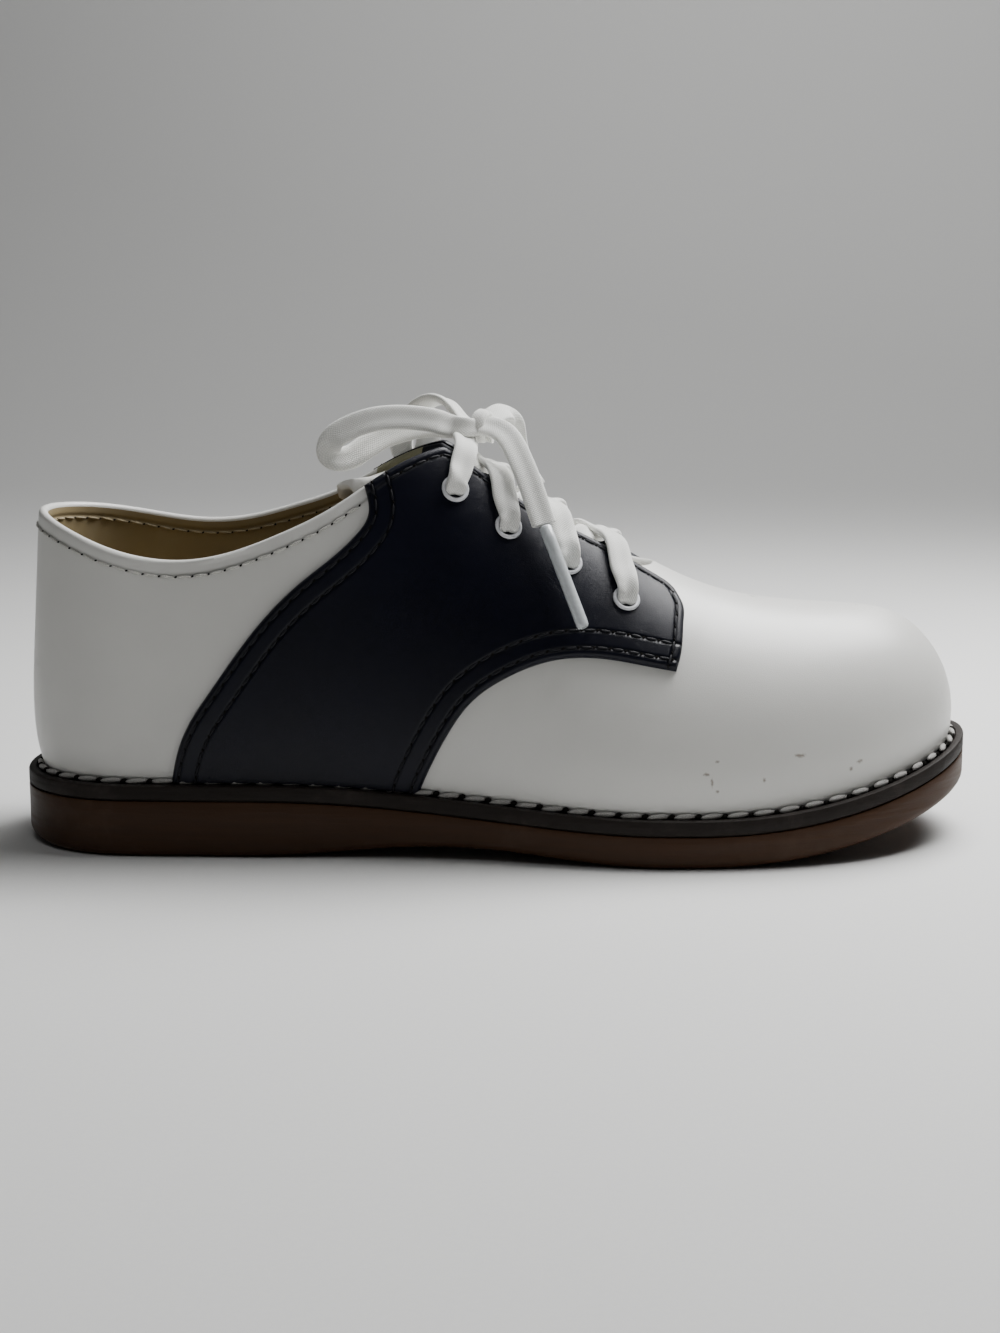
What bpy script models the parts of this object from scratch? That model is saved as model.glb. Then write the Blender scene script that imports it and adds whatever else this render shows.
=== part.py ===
"""A child's lace-up saddle oxford for the right foot, standing empty on its sole.

The toe points to +X, the outer (lateral) side of the foot to -Y, and +Z is up. Every piece
follows one last: a plan outline, a seat line, a roof line and the roundness of its sections,
all written as shares of the sizes below. Lengths are in metres.
"""

import math
from collections import namedtuple

import bmesh
import bpy
import numpy as np

# Overall sizes of the shoe
SHOE_LENGTH = 0.215
BALL_WIDTH = 0.0783
INSTEP_HEIGHT = 0.088
HEEL_STACK = 0.016
BALL_STACK = 0.0107
ARCH_RISE = 0.0027
TOE_SPRING = 0.0125
HEEL_BEVEL = 0.0014

# Sizes of the single pieces
CLEARANCE = 0.0003
WELT_THICKNESS = 0.0034
WELT_WIDTH = 0.0095
WELT_ROUND = 0.0006
WELT_MARGIN = 0.0035
SOLE_EDGE_ROUND = 0.0018
INSOLE_THICKNESS = 0.0026
INSOLE_CLEARANCE = 0.0008
UPPER_WALL = 0.002
SADDLE_WALL = 0.0012
SADDLE_CLEARANCE = 0.0005
TONGUE_WALL = 0.0018
TONGUE_CLEARANCE = 0.0005
EYELET_OUTER = 0.0063
EYELET_INNER = 0.0042
EYELET_FLANGE = 0.0007
EYELET_BARREL = 0.0003
LACE_WIDTH = 0.0055
LACE_THICKNESS = 0.0015
AGLET_DIAMETER = 0.0028
EYELET_SEAT = SADDLE_CLEARANCE + SADDLE_WALL + CLEARANCE

# Divisions of the curved pieces
HEEL_COLUMNS = 7
COLLAR_COLUMNS = 10
FACING_COLUMNS = 9
THROAT_COLUMNS = 3
VAMP_COLUMNS = 2
TOE_COLUMNS = 11
WALL_ROWS = 8
SADDLE_ROWS = 9
ROW_SPREAD = 1.3
TONGUE_COLUMNS = 11
TONGUE_ROWS = 8
EYELET_SEGMENTS = 10
AGLET_SEGMENTS = 8
WELD = 0.000002

LATERAL, MEDIAL = -1, 1
SIDES = {"lateral": LATERAL, "medial": MEDIAL}
HALF_BALL = BALL_WIDTH / 2
RIGHT_ANGLE = math.pi / 2

# Sections of the last from heel to toe. along is a share of SHOE_LENGTH, half_width, centre
# and swell are shares of half the BALL_WIDTH, and roof is a share of INSTEP_HEIGHT.
Section = namedtuple("Section", "along half_width centre roof power swell")
SECTIONS = (
    Section(along=0.00, half_width=0.700, centre=-0.026, roof=1.590, power=2.30, swell=0.050),
    Section(along=0.13, half_width=0.705, centre=-0.026, roof=1.580, power=2.30, swell=0.040),
    Section(along=0.25, half_width=0.715, centre=-0.041, roof=1.443, power=2.30, swell=0.030),
    Section(along=0.36, half_width=0.700, centre=-0.066, roof=1.227, power=2.25, swell=0.030),
    Section(along=0.44, half_width=0.730, centre=-0.076, roof=1.085, power=2.15, swell=0.030),
    Section(along=0.52, half_width=0.807, centre=-0.074, roof=0.926, power=1.95, swell=0.030),
    Section(along=0.60, half_width=0.920, centre=-0.051, roof=0.798, power=1.85, swell=0.034),
    Section(along=0.66, half_width=0.978, centre=-0.031, roof=0.708, power=1.88, swell=0.036),
    Section(along=0.72, half_width=1.000, centre=-0.003, roof=0.640, power=2.00, swell=0.034),
    Section(along=0.80, half_width=1.006, centre=0.028, roof=0.598, power=2.20, swell=0.030),
    Section(along=0.90, half_width=1.010, centre=0.066, roof=0.580, power=2.30, swell=0.030),
    Section(along=1.00, half_width=1.020, centre=0.107, roof=0.540, power=2.35, swell=0.030),
)
SWELL_HEIGHT = 0.17 * INSTEP_HEIGHT

# Where the round heel and toe of the outline start, and how full their curves are
HEEL_ROUND = 0.13
HEEL_FULLNESS = 2.2
TOE_ROUND = 0.72
TOE_FULLNESS = 2.1

# Where the underside is flat and where the stack thins, as shares of SHOE_LENGTH
HEEL_FLAT = (0.07, 0.24)
BALL_FLAT = (0.665, 0.70)
STACK_TAPER = (0.25, 0.66)

# Sections lean towards the middle beyond these shares of SHOE_LENGTH, over these reaches
HEEL_FAN = 0.165
HEEL_FAN_REACH = 0.158 * SHOE_LENGTH
TOE_FAN = 0.71
TOE_FAN_REACH = 0.405 * SHOE_LENGTH

# The collar's edge: heights as shares of INSTEP_HEIGHT, at shares of SHOE_LENGTH
TopLine = namedtuple("TopLine", "along lateral medial")
TOP_LINE = (
    TopLine(along=0.00, lateral=0.848, medial=0.848),
    TopLine(along=0.04, lateral=0.812, medial=0.838),
    TopLine(along=0.10, lateral=0.761, medial=0.815),
    TopLine(along=0.17, lateral=0.737, medial=0.793),
    TopLine(along=0.22, lateral=0.756, medial=0.802),
    TopLine(along=0.27, lateral=0.799, medial=0.833),
    TopLine(along=0.33, lateral=0.869, medial=0.885),
    TopLine(along=0.38, lateral=0.946, medial=0.952),
    TopLine(along=0.43, lateral=0.998, medial=1.000),
    TopLine(along=0.48, lateral=1.015, medial=1.018),
)

# Half the gap between the facings, as a share of half the BALL_WIDTH
Gap = namedtuple("Gap", "along half_gap")
FACING_GAP = (
    Gap(along=0.36, half_gap=0.400),
    Gap(along=0.44, half_gap=0.285),
    Gap(along=0.52, half_gap=0.260),
    Gap(along=0.60, half_gap=0.248),
    Gap(along=0.668, half_gap=0.245),
)
FACING_TOP = 0.436
THROAT_ROUND = 0.630
THROAT_END = 0.668

# Edges of the saddle on the last: up is the share of a right angle that the surface has
# turned from the welt towards the ridge.
Mark = namedtuple("Mark", "along up")
SADDLE_BACK = (
    Mark(along=0.156, up=0.000),
    Mark(along=0.170, up=0.038),
    Mark(along=0.196, up=0.080),
    Mark(along=0.238, up=0.150),
    Mark(along=0.290, up=0.241),
    Mark(along=0.330, up=0.316),
    Mark(along=0.352, up=0.371),
    Mark(along=0.365, up=0.430),
    Mark(along=0.360, up=0.471),
)
SADDLE_LOWER_FRONT = (
    Mark(along=0.417, up=0.000),
    Mark(along=0.428, up=0.034),
    Mark(along=0.452, up=0.112),
    Mark(along=0.472, up=0.171),
    Mark(along=0.505, up=0.247),
    Mark(along=0.540, up=0.316),
    Mark(along=0.580, up=0.373),
    Mark(along=0.630, up=0.412),
    Mark(along=0.683, up=0.430),
)
SADDLE_FRONT_END = (
    Mark(along=0.625, up=0.800),
    Mark(along=0.655, up=0.795),
    Mark(along=0.675, up=0.785),
    Mark(along=0.688, up=0.745),
    Mark(along=0.694, up=0.690),
    Mark(along=0.693, up=0.610),
    Mark(along=0.689, up=0.496),
    Mark(along=0.683, up=0.430),
)
SADDLE_COLLAR_STEPS = 5
SADDLE_FACING_STEPS = 10
SADDLE_END_STEPS = 8

# Eyelets of one facing, from the top down: along as a share of SHOE_LENGTH, height as a share
# of INSTEP_HEIGHT
Eyelet = namedtuple("Eyelet", "along height")
EYELETS = (
    Eyelet(along=0.4525, height=0.899),
    Eyelet(along=0.5075, height=0.806),
    Eyelet(along=0.5710, height=0.716),
    Eyelet(along=0.6310, height=0.627),
)

# The tongue's middle line, and how far its sides curl up over it: height and curl as shares
# of INSTEP_HEIGHT, half_width and shift as shares of half BALL_WIDTH
TongueLine = namedtuple("TongueLine", "along height curl half_width shift")
TONGUE_LINE = (
    TongueLine(along=0.335, height=0.880, curl=0.075, half_width=0.385, shift=-0.045),
    TongueLine(along=0.380, height=0.925, curl=0.035, half_width=0.400, shift=-0.035),
    TongueLine(along=0.430, height=0.955, curl=0.005, half_width=0.410, shift=-0.025),
    TongueLine(along=0.500, height=0.882, curl=0.000, half_width=0.420, shift=-0.020),
    TongueLine(along=0.580, height=0.762, curl=0.000, half_width=0.400, shift=-0.010),
    TongueLine(along=0.640, height=0.675, curl=0.000, half_width=0.360, shift=0.000),
    TongueLine(along=0.690, height=0.605, curl=0.000, half_width=0.300, shift=0.000),
)
TONGUE_SOFTNESS = 0.0025

# The free lace lies where it fell: these routes are chosen by hand, in metres
NEAR_LOOP = (
    (-0.0104, -0.0066, 0.0925),
    (-0.0133, -0.0086, 0.0935),
    (-0.0170, -0.0102, 0.0943),
    (-0.0230, -0.0116, 0.0947),
    (-0.0285, -0.0126, 0.0940),
    (-0.0335, -0.0132, 0.0921),
    (-0.0368, -0.0134, 0.0893),
    (-0.0370, -0.0127, 0.0866),
    (-0.0341, -0.0113, 0.0856),
    (-0.0300, -0.0096, 0.0868),
    (-0.0255, -0.0079, 0.0888),
    (-0.0205, -0.0062, 0.0903),
    (-0.0155, -0.0044, 0.0909),
    (-0.0104, -0.0028, 0.0906),
)
FAR_LOOP = (
    (-0.0080, 0.0029, 0.0933),
    (-0.0100, 0.0052, 0.0957),
    (-0.0118, 0.0072, 0.0973),
    (-0.0140, 0.0095, 0.0978),
    (-0.0180, 0.0135, 0.0960),
    (-0.0212, 0.0175, 0.0920),
    (-0.0228, 0.0207, 0.0870),
    (-0.0215, 0.0222, 0.0835),
    (-0.0185, 0.0216, 0.0838),
    (-0.0165, 0.0185, 0.0875),
    (-0.0150, 0.0125, 0.0912),
    (-0.0128, 0.0065, 0.0932),
)
NEAR_END = (
    (-0.0025, -0.0062, 0.0925),
    (0.0010, -0.0095, 0.0912),
    (0.0040, -0.0135, 0.0870),
    (0.0062, -0.0168, 0.0820),
    (0.0080, -0.0192, 0.0770),
    (0.0097, -0.0212, 0.0722),
)
FAR_END = (
    (-0.0026, 0.0003, 0.0933),
    (0.0010, 0.0050, 0.0950),
    (0.0040, 0.0100, 0.0925),
    (0.0060, 0.0140, 0.0870),
    (0.0075, 0.0168, 0.0815),
    (0.0090, 0.0190, 0.0765),
)
NEAR_AGLET = ((0.0099, -0.0214, 0.0718), (0.0180, -0.0306, 0.0510))
FAR_AGLET = ((0.0091, 0.0192, 0.0761), (0.0150, 0.0275, 0.0550))
NEAR_RISE = (
    (-0.0074, -0.0082, 0.0912),
    (-0.0058, -0.0046, 0.0913),
)
FAR_RISE = (
    (-0.0074, 0.0032, 0.0912),
    (-0.0058, -0.0004, 0.0913),
)
KNOT_CENTRE = (-0.0050, -0.0025, 0.0915)
KNOT_RADII = (0.0028, 0.0042, 0.0030)

# The tied lace: where its crossings tuck in, how far one lies over the other, and the bar's
# reach as a share of the tongue's half width
LACE_TUCK = 0.0026
LACE_LEVEL = 0.0012
STRAND_STEPS = 10
BAR_REACH = 0.46
RISE_ALONG = 0.459


def smooth_line(places, values):
    """A function through the given points with continuous curvature (a natural cubic)."""
    x = np.asarray(places, float)
    y = np.asarray(values, float)
    gap = np.diff(x)
    slope = np.diff(y) / gap
    count = len(x)
    system = np.eye(count)
    right = np.zeros(count)
    for i in range(1, count - 1):
        system[i, i - 1 : i + 2] = gap[i - 1], 2 * (gap[i - 1] + gap[i]), gap[i]
        right[i] = 6 * (slope[i] - slope[i - 1])
    bend = np.linalg.solve(system, right)

    def value(at):
        at = np.clip(np.asarray(at, float), x[0], x[-1])
        i = np.clip(np.searchsorted(x, at) - 1, 0, count - 2)
        ahead = (x[i + 1] - at) / gap[i]
        behind = (at - x[i]) / gap[i]
        cubic = (ahead**3 - ahead) * bend[i] + (behind**3 - behind) * bend[i + 1]
        return ahead * y[i] + behind * y[i + 1] + cubic * gap[i] ** 2 / 6

    return value


def table_line(rows, column, scale=1.0):
    """The smooth function of one named column of a table, times a named size."""
    return smooth_line([row.along for row in rows], [getattr(row, column) * scale for row in rows])


half_width_at = table_line(SECTIONS, "half_width", HALF_BALL)
centre_at = table_line(SECTIONS, "centre", HALF_BALL)
roof_at = table_line(SECTIONS, "roof", INSTEP_HEIGHT)
power_at = table_line(SECTIONS, "power")
swell_at = table_line(SECTIONS, "swell", HALF_BALL)
top_line_at = {
    LATERAL: table_line(TOP_LINE, "lateral", INSTEP_HEIGHT),
    MEDIAL: table_line(TOP_LINE, "medial", INSTEP_HEIGHT),
}
facing_gap_at = table_line(FACING_GAP, "half_gap", HALF_BALL)
tongue_height_at = table_line(TONGUE_LINE, "height", INSTEP_HEIGHT)
tongue_curl_at = table_line(TONGUE_LINE, "curl", INSTEP_HEIGHT)
tongue_half_width_at = table_line(TONGUE_LINE, "half_width", HALF_BALL)
tongue_shift_at = table_line(TONGUE_LINE, "shift", HALF_BALL)


def share_of(x):
    """A place on the X axis as a share of the shoe's length."""
    return np.asarray(x, float) / SHOE_LENGTH + 0.5


def ramp(value, start, end):
    """0 before start, 1 after end, straight between them."""
    return np.clip((np.asarray(value, float) - start) / (end - start), 0, 1)


def spring_at(x):
    """How far the forepart rises towards the toe."""
    return TOE_SPRING * ramp(share_of(x), BALL_FLAT[1], 1) ** 2


def underside_at(x):
    """Height of the outsole's underside: flat heel, arch, flat ball and toe spring."""
    share = share_of(x)
    arch = np.sin(math.pi * ramp(share, HEEL_FLAT[1], BALL_FLAT[0])) ** 2
    bevel = ramp(-share, -HEEL_FLAT[0], 0) ** 2
    return ARCH_RISE * arch + HEEL_BEVEL * bevel + spring_at(x)


def seat_at(x):
    """Height of the welt's top, on which the upper stands."""
    thin = ramp(share_of(x), *STACK_TAPER)
    eased = thin * thin * (3 - 2 * thin)
    return HEEL_STACK + (BALL_STACK - HEEL_STACK) * eased + spring_at(x)


def closure(share):
    """Narrows the outline to nothing at the heel's back and at the toe's tip."""
    heel = 1 - ramp(share, 0, HEEL_ROUND)
    toe = ramp(share, TOE_ROUND, 1)
    round_heel = np.maximum(1 - heel**HEEL_FULLNESS, 0) ** (1 / HEEL_FULLNESS)
    round_toe = np.maximum(1 - toe**TOE_FULLNESS, 0) ** (1 / TOE_FULLNESS)
    return round_heel * round_toe


def outline(share, side, inset):
    """Plan position of a point of the sole's outline, moved inwards by inset."""
    x = (share - 0.5) * (SHOE_LENGTH - 2 * inset)
    y = centre_at(share) + side * (half_width_at(share) - inset) * closure(share)
    return x, y


def outline_normal(share, side):
    """The outward direction of the feather line in plan."""
    step = 0.0001
    x0, y0 = outline(np.maximum(share - step, 0), side, WELT_MARGIN)
    x1, y1 = outline(np.minimum(share + step, 1), side, WELT_MARGIN)
    length = np.hypot(x1 - x0, y1 - y0)
    return side * (y0 - y1) / length, side * (x1 - x0) / length


def fan_foot(x):
    """Where the section that starts at x on the feather line meets the last's ridge."""
    heel_past = np.maximum((HEEL_FAN - 0.5) * SHOE_LENGTH - x, 0)
    toe_past = np.maximum(x - (TOE_FAN - 0.5) * SHOE_LENGTH, 0)
    return x + heel_past**2 / (2 * HEEL_FAN_REACH) - toe_past**2 / (2 * TOE_FAN_REACH)


def surface_point(share, side, angle):
    """A point of the upper's outer surface, at an angle up from the feather line."""
    share, angle = np.broadcast_arrays(np.asarray(share, float), np.asarray(angle, float))
    foot_x, foot_y = outline(share, side, WELT_MARGIN)
    ridge_x = fan_foot(foot_x)
    ridge_y = centre_at(share_of(ridge_x))
    cosine, sine = np.cos(angle), np.sin(angle)
    out = np.sign(cosine) * np.abs(cosine) ** (2 / power_at(share))
    lift = np.sign(sine) * np.abs(sine) ** (2 / power_at(share))
    x = ridge_x + (foot_x - ridge_x) * out
    y = ridge_y + (foot_y - ridge_y) * out
    seat = seat_at(foot_x) + CLEARANCE
    z = seat + (roof_at(share_of(x)) - seat) * lift
    rise = (z - seat) / SWELL_HEIGHT
    swell = swell_at(share) * rise * np.exp(1 - rise) * out
    away_x, away_y = outline_normal(share, side)
    return np.stack([x + away_x * swell, y + away_y * swell, z], axis=-1)


def last_point(share, side, angle, height=0.0):
    """A point at a height over the upper's outer surface, measured square to it."""
    step = 0.0001
    share, angle = np.broadcast_arrays(np.asarray(share, float), np.asarray(angle, float))
    point = surface_point(share, side, angle)
    ahead = surface_point(np.minimum(share + step, 1), side, angle)
    behind = surface_point(np.maximum(share - step, 0), side, angle)
    above = surface_point(share, side, angle + step)
    below = surface_point(share, side, angle - step)
    normal = -side * np.cross(ahead - behind, above - below)
    normal /= np.linalg.norm(normal, axis=-1, keepdims=True)
    return point + normal * height


def edge_angle(share, side):
    """The angle at which the upper ends: at its collar, its facing or the closed ridge."""
    share = np.asarray(share, float)
    shut = np.sqrt(1 - ramp(share, THROAT_ROUND, THROAT_END) ** 2)
    half_gap = np.where(share < FACING_GAP[0].along, -1, facing_gap_at(share) * shut)
    low = np.zeros_like(share)
    high = np.full_like(share, RIGHT_ANGLE)
    for _ in range(40):
        angle = (low + high) / 2
        point = surface_point(share, side, angle)
        from_ridge = np.abs(point[..., 1] - centre_at(share_of(point[..., 0])))
        in_collar = point[..., 2] >= top_line_at[side](share)
        past = in_collar | (from_ridge <= half_gap)
        high = np.where(past, angle, high)
        low = np.where(past, low, angle)
    return high


def angle_at_height(share, side, height):
    """The angle at which a section of the upper reaches a height."""
    low, high = 0.0, RIGHT_ANGLE
    for _ in range(40):
        angle = (low + high) / 2
        if surface_point(share, side, angle)[2] < height:
            low = angle
        else:
            high = angle
    return angle


def row_shares(rows):
    """Shares of a section from the welt up, closer near the welt where the wall swells."""
    return np.linspace(0, 1, rows + 1) ** ROW_SPREAD


def column_shares():
    """Shares along the feather line, closer where heel and toe are round."""
    heel = HEEL_ROUND * (1 - np.cos(np.linspace(0, RIGHT_ANGLE, HEEL_COLUMNS + 1)))
    toe = 1 - (1 - TOE_ROUND) * (1 - np.cos(np.linspace(RIGHT_ANGLE, 0, TOE_COLUMNS + 1)))
    throat_turn = np.sin(np.linspace(0, RIGHT_ANGLE, THROAT_COLUMNS + 1))
    stretches = (
        heel,
        np.linspace(HEEL_ROUND, FACING_TOP, COLLAR_COLUMNS + 1),
        np.linspace(FACING_TOP, THROAT_ROUND, FACING_COLUMNS + 1),
        THROAT_ROUND + (THROAT_END - THROAT_ROUND) * throat_turn,
        np.linspace(THROAT_END, TOE_ROUND, VAMP_COLUMNS + 1),
        toe,
    )
    return np.concatenate([stretch[:-1] for stretch in stretches] + [[1.0]])


COLUMN_SHARES = column_shares()
CLOSED_COLUMNS = COLUMN_SHARES >= THROAT_END - WELD


def finish(name, colour, roughness, metallic=0.0):
    """A plain material in the piece's colour."""
    material = bpy.data.materials.new(name)
    material.use_nodes = True
    shader = material.node_tree.nodes["Principled BSDF"]
    shader.inputs["Base Color"].default_value = (*colour, 1.0)
    shader.inputs["Roughness"].default_value = roughness
    shader.inputs["Metallic"].default_value = metallic
    material.diffuse_color = (*colour, 1.0)
    return material


def place(name, mesh, material):
    """Turns a finished bmesh into a smooth-shaded object of the scene."""
    data = bpy.data.meshes.new(name)
    mesh.to_mesh(data)
    mesh.free()
    data.materials.append(material)
    data.shade_smooth()
    data.set_sharp_from_angle(angle=math.radians(40))
    piece = bpy.data.objects.new(name, data)
    bpy.context.scene.collection.objects.link(piece)
    return piece


def solid(name, panels, material):
    """A closed object made of panels whose corners meet."""
    mesh = bmesh.new()
    for panel in panels:
        mesh.faces.new([mesh.verts.new(corner) for corner in panel])
    bmesh.ops.remove_doubles(mesh, verts=mesh.verts, dist=WELD)
    bmesh.ops.dissolve_degenerate(mesh, edges=mesh.edges, dist=WELD)
    bmesh.ops.recalc_face_normals(mesh, faces=mesh.faces)
    return place(name, mesh, material)


def grid_panels(grid):
    """The four-cornered panels of a grid of points."""
    rows, columns = grid.shape[0] - 1, grid.shape[1] - 1
    return [
        (grid[i, j], grid[i + 1, j], grid[i + 1, j + 1], grid[i, j + 1])
        for i in range(rows)
        for j in range(columns)
    ]


def border_panels(first, second):
    """The panels that join two lines of points."""
    return grid_panels(np.stack([first, second], axis=1))


def slab_panels(outer, inner):
    """The panels of a sheet with a thickness, between two grids of points."""
    panels = grid_panels(outer) + grid_panels(inner)
    panels += border_panels(outer[0], inner[0]) + border_panels(outer[-1], inner[-1])
    panels += border_panels(outer[:, 0], inner[:, 0]) + border_panels(outer[:, -1], inner[:, -1])
    return panels


def level_line(side, inset, height_at):
    """One side of the sole's outline at an inset and a height that changes with x."""
    x, y = outline(COLUMN_SHARES, side, inset)
    return np.stack([x, y, height_at(x)], axis=-1)


def level_panels(levels):
    """The panels of a wall around the shoe that goes through (inset, height) levels."""
    panels = []
    for side in SIDES.values():
        lines = [level_line(side, inset, height_at) for inset, height_at in levels]
        panels += grid_panels(np.stack(lines, axis=1))
    return panels


def lid_panels(inset, height_at):
    """The panels of a lid across the shoe, from one side of its outline to the other."""
    return border_panels(
        level_line(LATERAL, inset, height_at), level_line(MEDIAL, inset, height_at)
    )


def over(height_at, lift):
    """A height function raised by lift."""
    return lambda x: height_at(x) + lift


def build_outsole(material):
    """The rubber sole: round lower edge, plain side, ledge for the welt and raised bed."""
    ledge = over(seat_at, -WELT_THICKNESS - CLEARANCE)
    bed_inset = WELT_WIDTH + CLEARANCE
    turn = 1 - math.sqrt(0.5)
    levels = (
        (SOLE_EDGE_ROUND, underside_at),
        (SOLE_EDGE_ROUND * turn, over(underside_at, SOLE_EDGE_ROUND * turn)),
        (0.0, over(underside_at, SOLE_EDGE_ROUND)),
        (0.0, ledge),
        (bed_inset, ledge),
        (bed_inset, seat_at),
    )
    panels = level_panels(levels)
    panels += lid_panels(SOLE_EDGE_ROUND, underside_at) + lid_panels(bed_inset, seat_at)
    return solid("outsole", panels, material)


def build_welt(material):
    """The strip round the sole's edge that the upper is stitched to."""
    bottom = over(seat_at, -WELT_THICKNESS)
    levels = (
        (0.0, bottom),
        (0.0, over(seat_at, -WELT_ROUND)),
        (WELT_ROUND, seat_at),
        (WELT_WIDTH, seat_at),
        (WELT_WIDTH, bottom),
        (0.0, bottom),
    )
    return solid("welt", level_panels(levels), material)


def build_insole(material):
    """The sock that covers the floor inside the upper."""
    inset = WELT_MARGIN + UPPER_WALL + INSOLE_CLEARANCE
    bottom = over(seat_at, CLEARANCE)
    top = over(seat_at, CLEARANCE + INSOLE_THICKNESS)
    panels = level_panels(((inset, bottom), (inset, top)))
    panels += lid_panels(inset, bottom) + lid_panels(inset, top)
    return solid("insole", panels, material)


def wall_grids(height):
    """The upper's surface at a height over it, a grid for each side, equal where they meet."""
    grids = {}
    for side in SIDES.values():
        angles = edge_angle(COLUMN_SHARES, side)[:, None] * row_shares(WALL_ROWS)
        grids[side] = last_point(COLUMN_SHARES[:, None], side, angles, height)
    middle = (grids[LATERAL] + grids[MEDIAL]) / 2
    for grid in grids.values():
        grid[0] = middle[0]
        grid[-1] = middle[-1]
        grid[CLOSED_COLUMNS, -1] = middle[CLOSED_COLUMNS, -1]
    return grids


def build_upper(material):
    """The hollow leather upper: open underneath, at the collar and down the throat."""
    outer = wall_grids(0.0)
    inner = wall_grids(-UPPER_WALL)
    last_open = int(np.argmax(CLOSED_COLUMNS)) + 1
    panels = []
    for side in SIDES.values():
        panels += grid_panels(outer[side]) + grid_panels(inner[side])
        panels += border_panels(outer[side][:, 0], inner[side][:, 0])
        panels += border_panels(outer[side][:last_open, -1], inner[side][:last_open, -1])
    return solid("upper", panels, material)


def smooth_route(points, shares):
    """Points of the smooth curve through a route, at shares of its length."""
    rows = np.array(points, float)
    run = np.concatenate([[0], np.cumsum(np.linalg.norm(np.diff(rows, axis=0), axis=1))])
    at = run[-1] * shares
    return np.stack([smooth_line(run, column)(at) for column in rows.T], axis=-1)


def saddle_top(side):
    """The saddle's upper edge: along the collar and the facing, then round its front end."""
    collar = np.linspace(SADDLE_BACK[-1].along, FACING_TOP, SADDLE_COLLAR_STEPS + 1)
    facing = np.linspace(FACING_TOP, SADDLE_FRONT_END[0].along, SADDLE_FACING_STEPS + 1)
    along = np.concatenate([collar[:-1], facing])
    edge = np.stack([along, edge_angle(along, side) / RIGHT_ANGLE], axis=-1)
    end_marks = [edge[-1]] + [tuple(mark) for mark in SADDLE_FRONT_END[1:]]
    end = smooth_route(end_marks, np.linspace(0, 1, SADDLE_END_STEPS + 1))
    return np.concatenate([edge[:-1], end])


def saddle_grid(side):
    """Points of the saddle, as along and up, spread between its four edges."""
    top = saddle_top(side)
    rows = row_shares(SADDLE_ROWS)
    back = smooth_route(SADDLE_BACK[:-1] + (Mark(*top[0]),), rows)
    front = smooth_route(SADDLE_LOWER_FRONT, rows)
    across = np.linspace(0, 1, len(top))[:, None, None]
    up = rows[None, :, None]
    bottom = back[0] + (front[0] - back[0]) * across[:, 0]
    between_sides = (1 - across) * back[None] + across * front[None]
    between_ends = (1 - up) * bottom[:, None] + up * top[:, None]
    corners = (1 - across) * ((1 - up) * back[0] + up * back[-1])
    corners = corners + across * ((1 - up) * front[0] + up * front[-1])
    return between_sides + between_ends - corners


def build_saddle(name, side, material):
    """One half of the saddle: leather over the upper, from the welt up to the facing."""
    grid = saddle_grid(side)
    along, angle = grid[..., 0], grid[..., 1] * RIGHT_ANGLE
    outer = last_point(along, side, angle, SADDLE_CLEARANCE + SADDLE_WALL)
    inner = last_point(along, side, angle, SADDLE_CLEARANCE)
    outer[:, 0, 2] = inner[:, 0, 2]
    return solid(f"saddle_{name}", slab_panels(outer, inner), material)


def inside_height(x, y, depth):
    """Height of the last at a plan position, its section shrunk all round by depth."""
    share = share_of(x)
    half = half_width_at(share) - WELT_MARGIN - depth
    out = np.clip(np.abs(y - centre_at(share)) / half, 0, 1)
    lift = (1 - out ** power_at(share)) ** (1 / power_at(share))
    seat = seat_at(x)
    return seat + (roof_at(share) - depth - seat) * lift


def tongue_points(along, across, depth):
    """Points of the tongue: under the facings' lining, and nearly flat between them."""
    along, across = np.broadcast_arrays(along, across)
    x = (along - 0.5) * SHOE_LENGTH
    y = centre_at(along) + tongue_shift_at(along) + tongue_half_width_at(along) * across
    under_facing = inside_height(x, y, UPPER_WALL + TONGUE_CLEARANCE + depth)
    free = tongue_height_at(along) + tongue_curl_at(along) * across**2 - depth
    spread = np.hypot(under_facing - free, TONGUE_SOFTNESS)
    return np.stack([x, y, (under_facing + free - spread) / 2], axis=-1)


def build_tongue(material):
    """The tongue, from under the vamp up past the facings."""
    along = np.linspace(TONGUE_LINE[0].along, TONGUE_LINE[-1].along, TONGUE_COLUMNS + 1)
    across = np.linspace(-1, 1, TONGUE_ROWS + 1)
    outer = tongue_points(along[:, None], across, 0.0)
    inner = tongue_points(along[:, None], across, TONGUE_WALL)
    return solid("tongue", slab_panels(outer, inner), material)


def eyelet_frame(eyelet, side):
    """Centre of an eyelet on the upper's outer surface, and the direction that it faces."""
    angle = angle_at_height(eyelet.along, side, eyelet.height * INSTEP_HEIGHT)
    centre = last_point(eyelet.along, side, angle)
    above = last_point(eyelet.along, side, angle, 1.0)
    return centre, above - centre


def turned_panels(profile, centre, axis, segments):
    """The panels of a profile of (radius, height) points turned about an axis."""
    first = np.cross(axis, (1.0, 0.0, 0.0))
    first /= np.linalg.norm(first)
    second = np.cross(axis, first)
    turn = np.linspace(0, 2 * math.pi, segments + 1)
    spokes = np.cos(turn)[:, None] * first + np.sin(turn)[:, None] * second
    rings = [centre + radius * spokes + height * axis for radius, height in profile]
    return grid_panels(np.stack(rings, axis=1))


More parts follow.
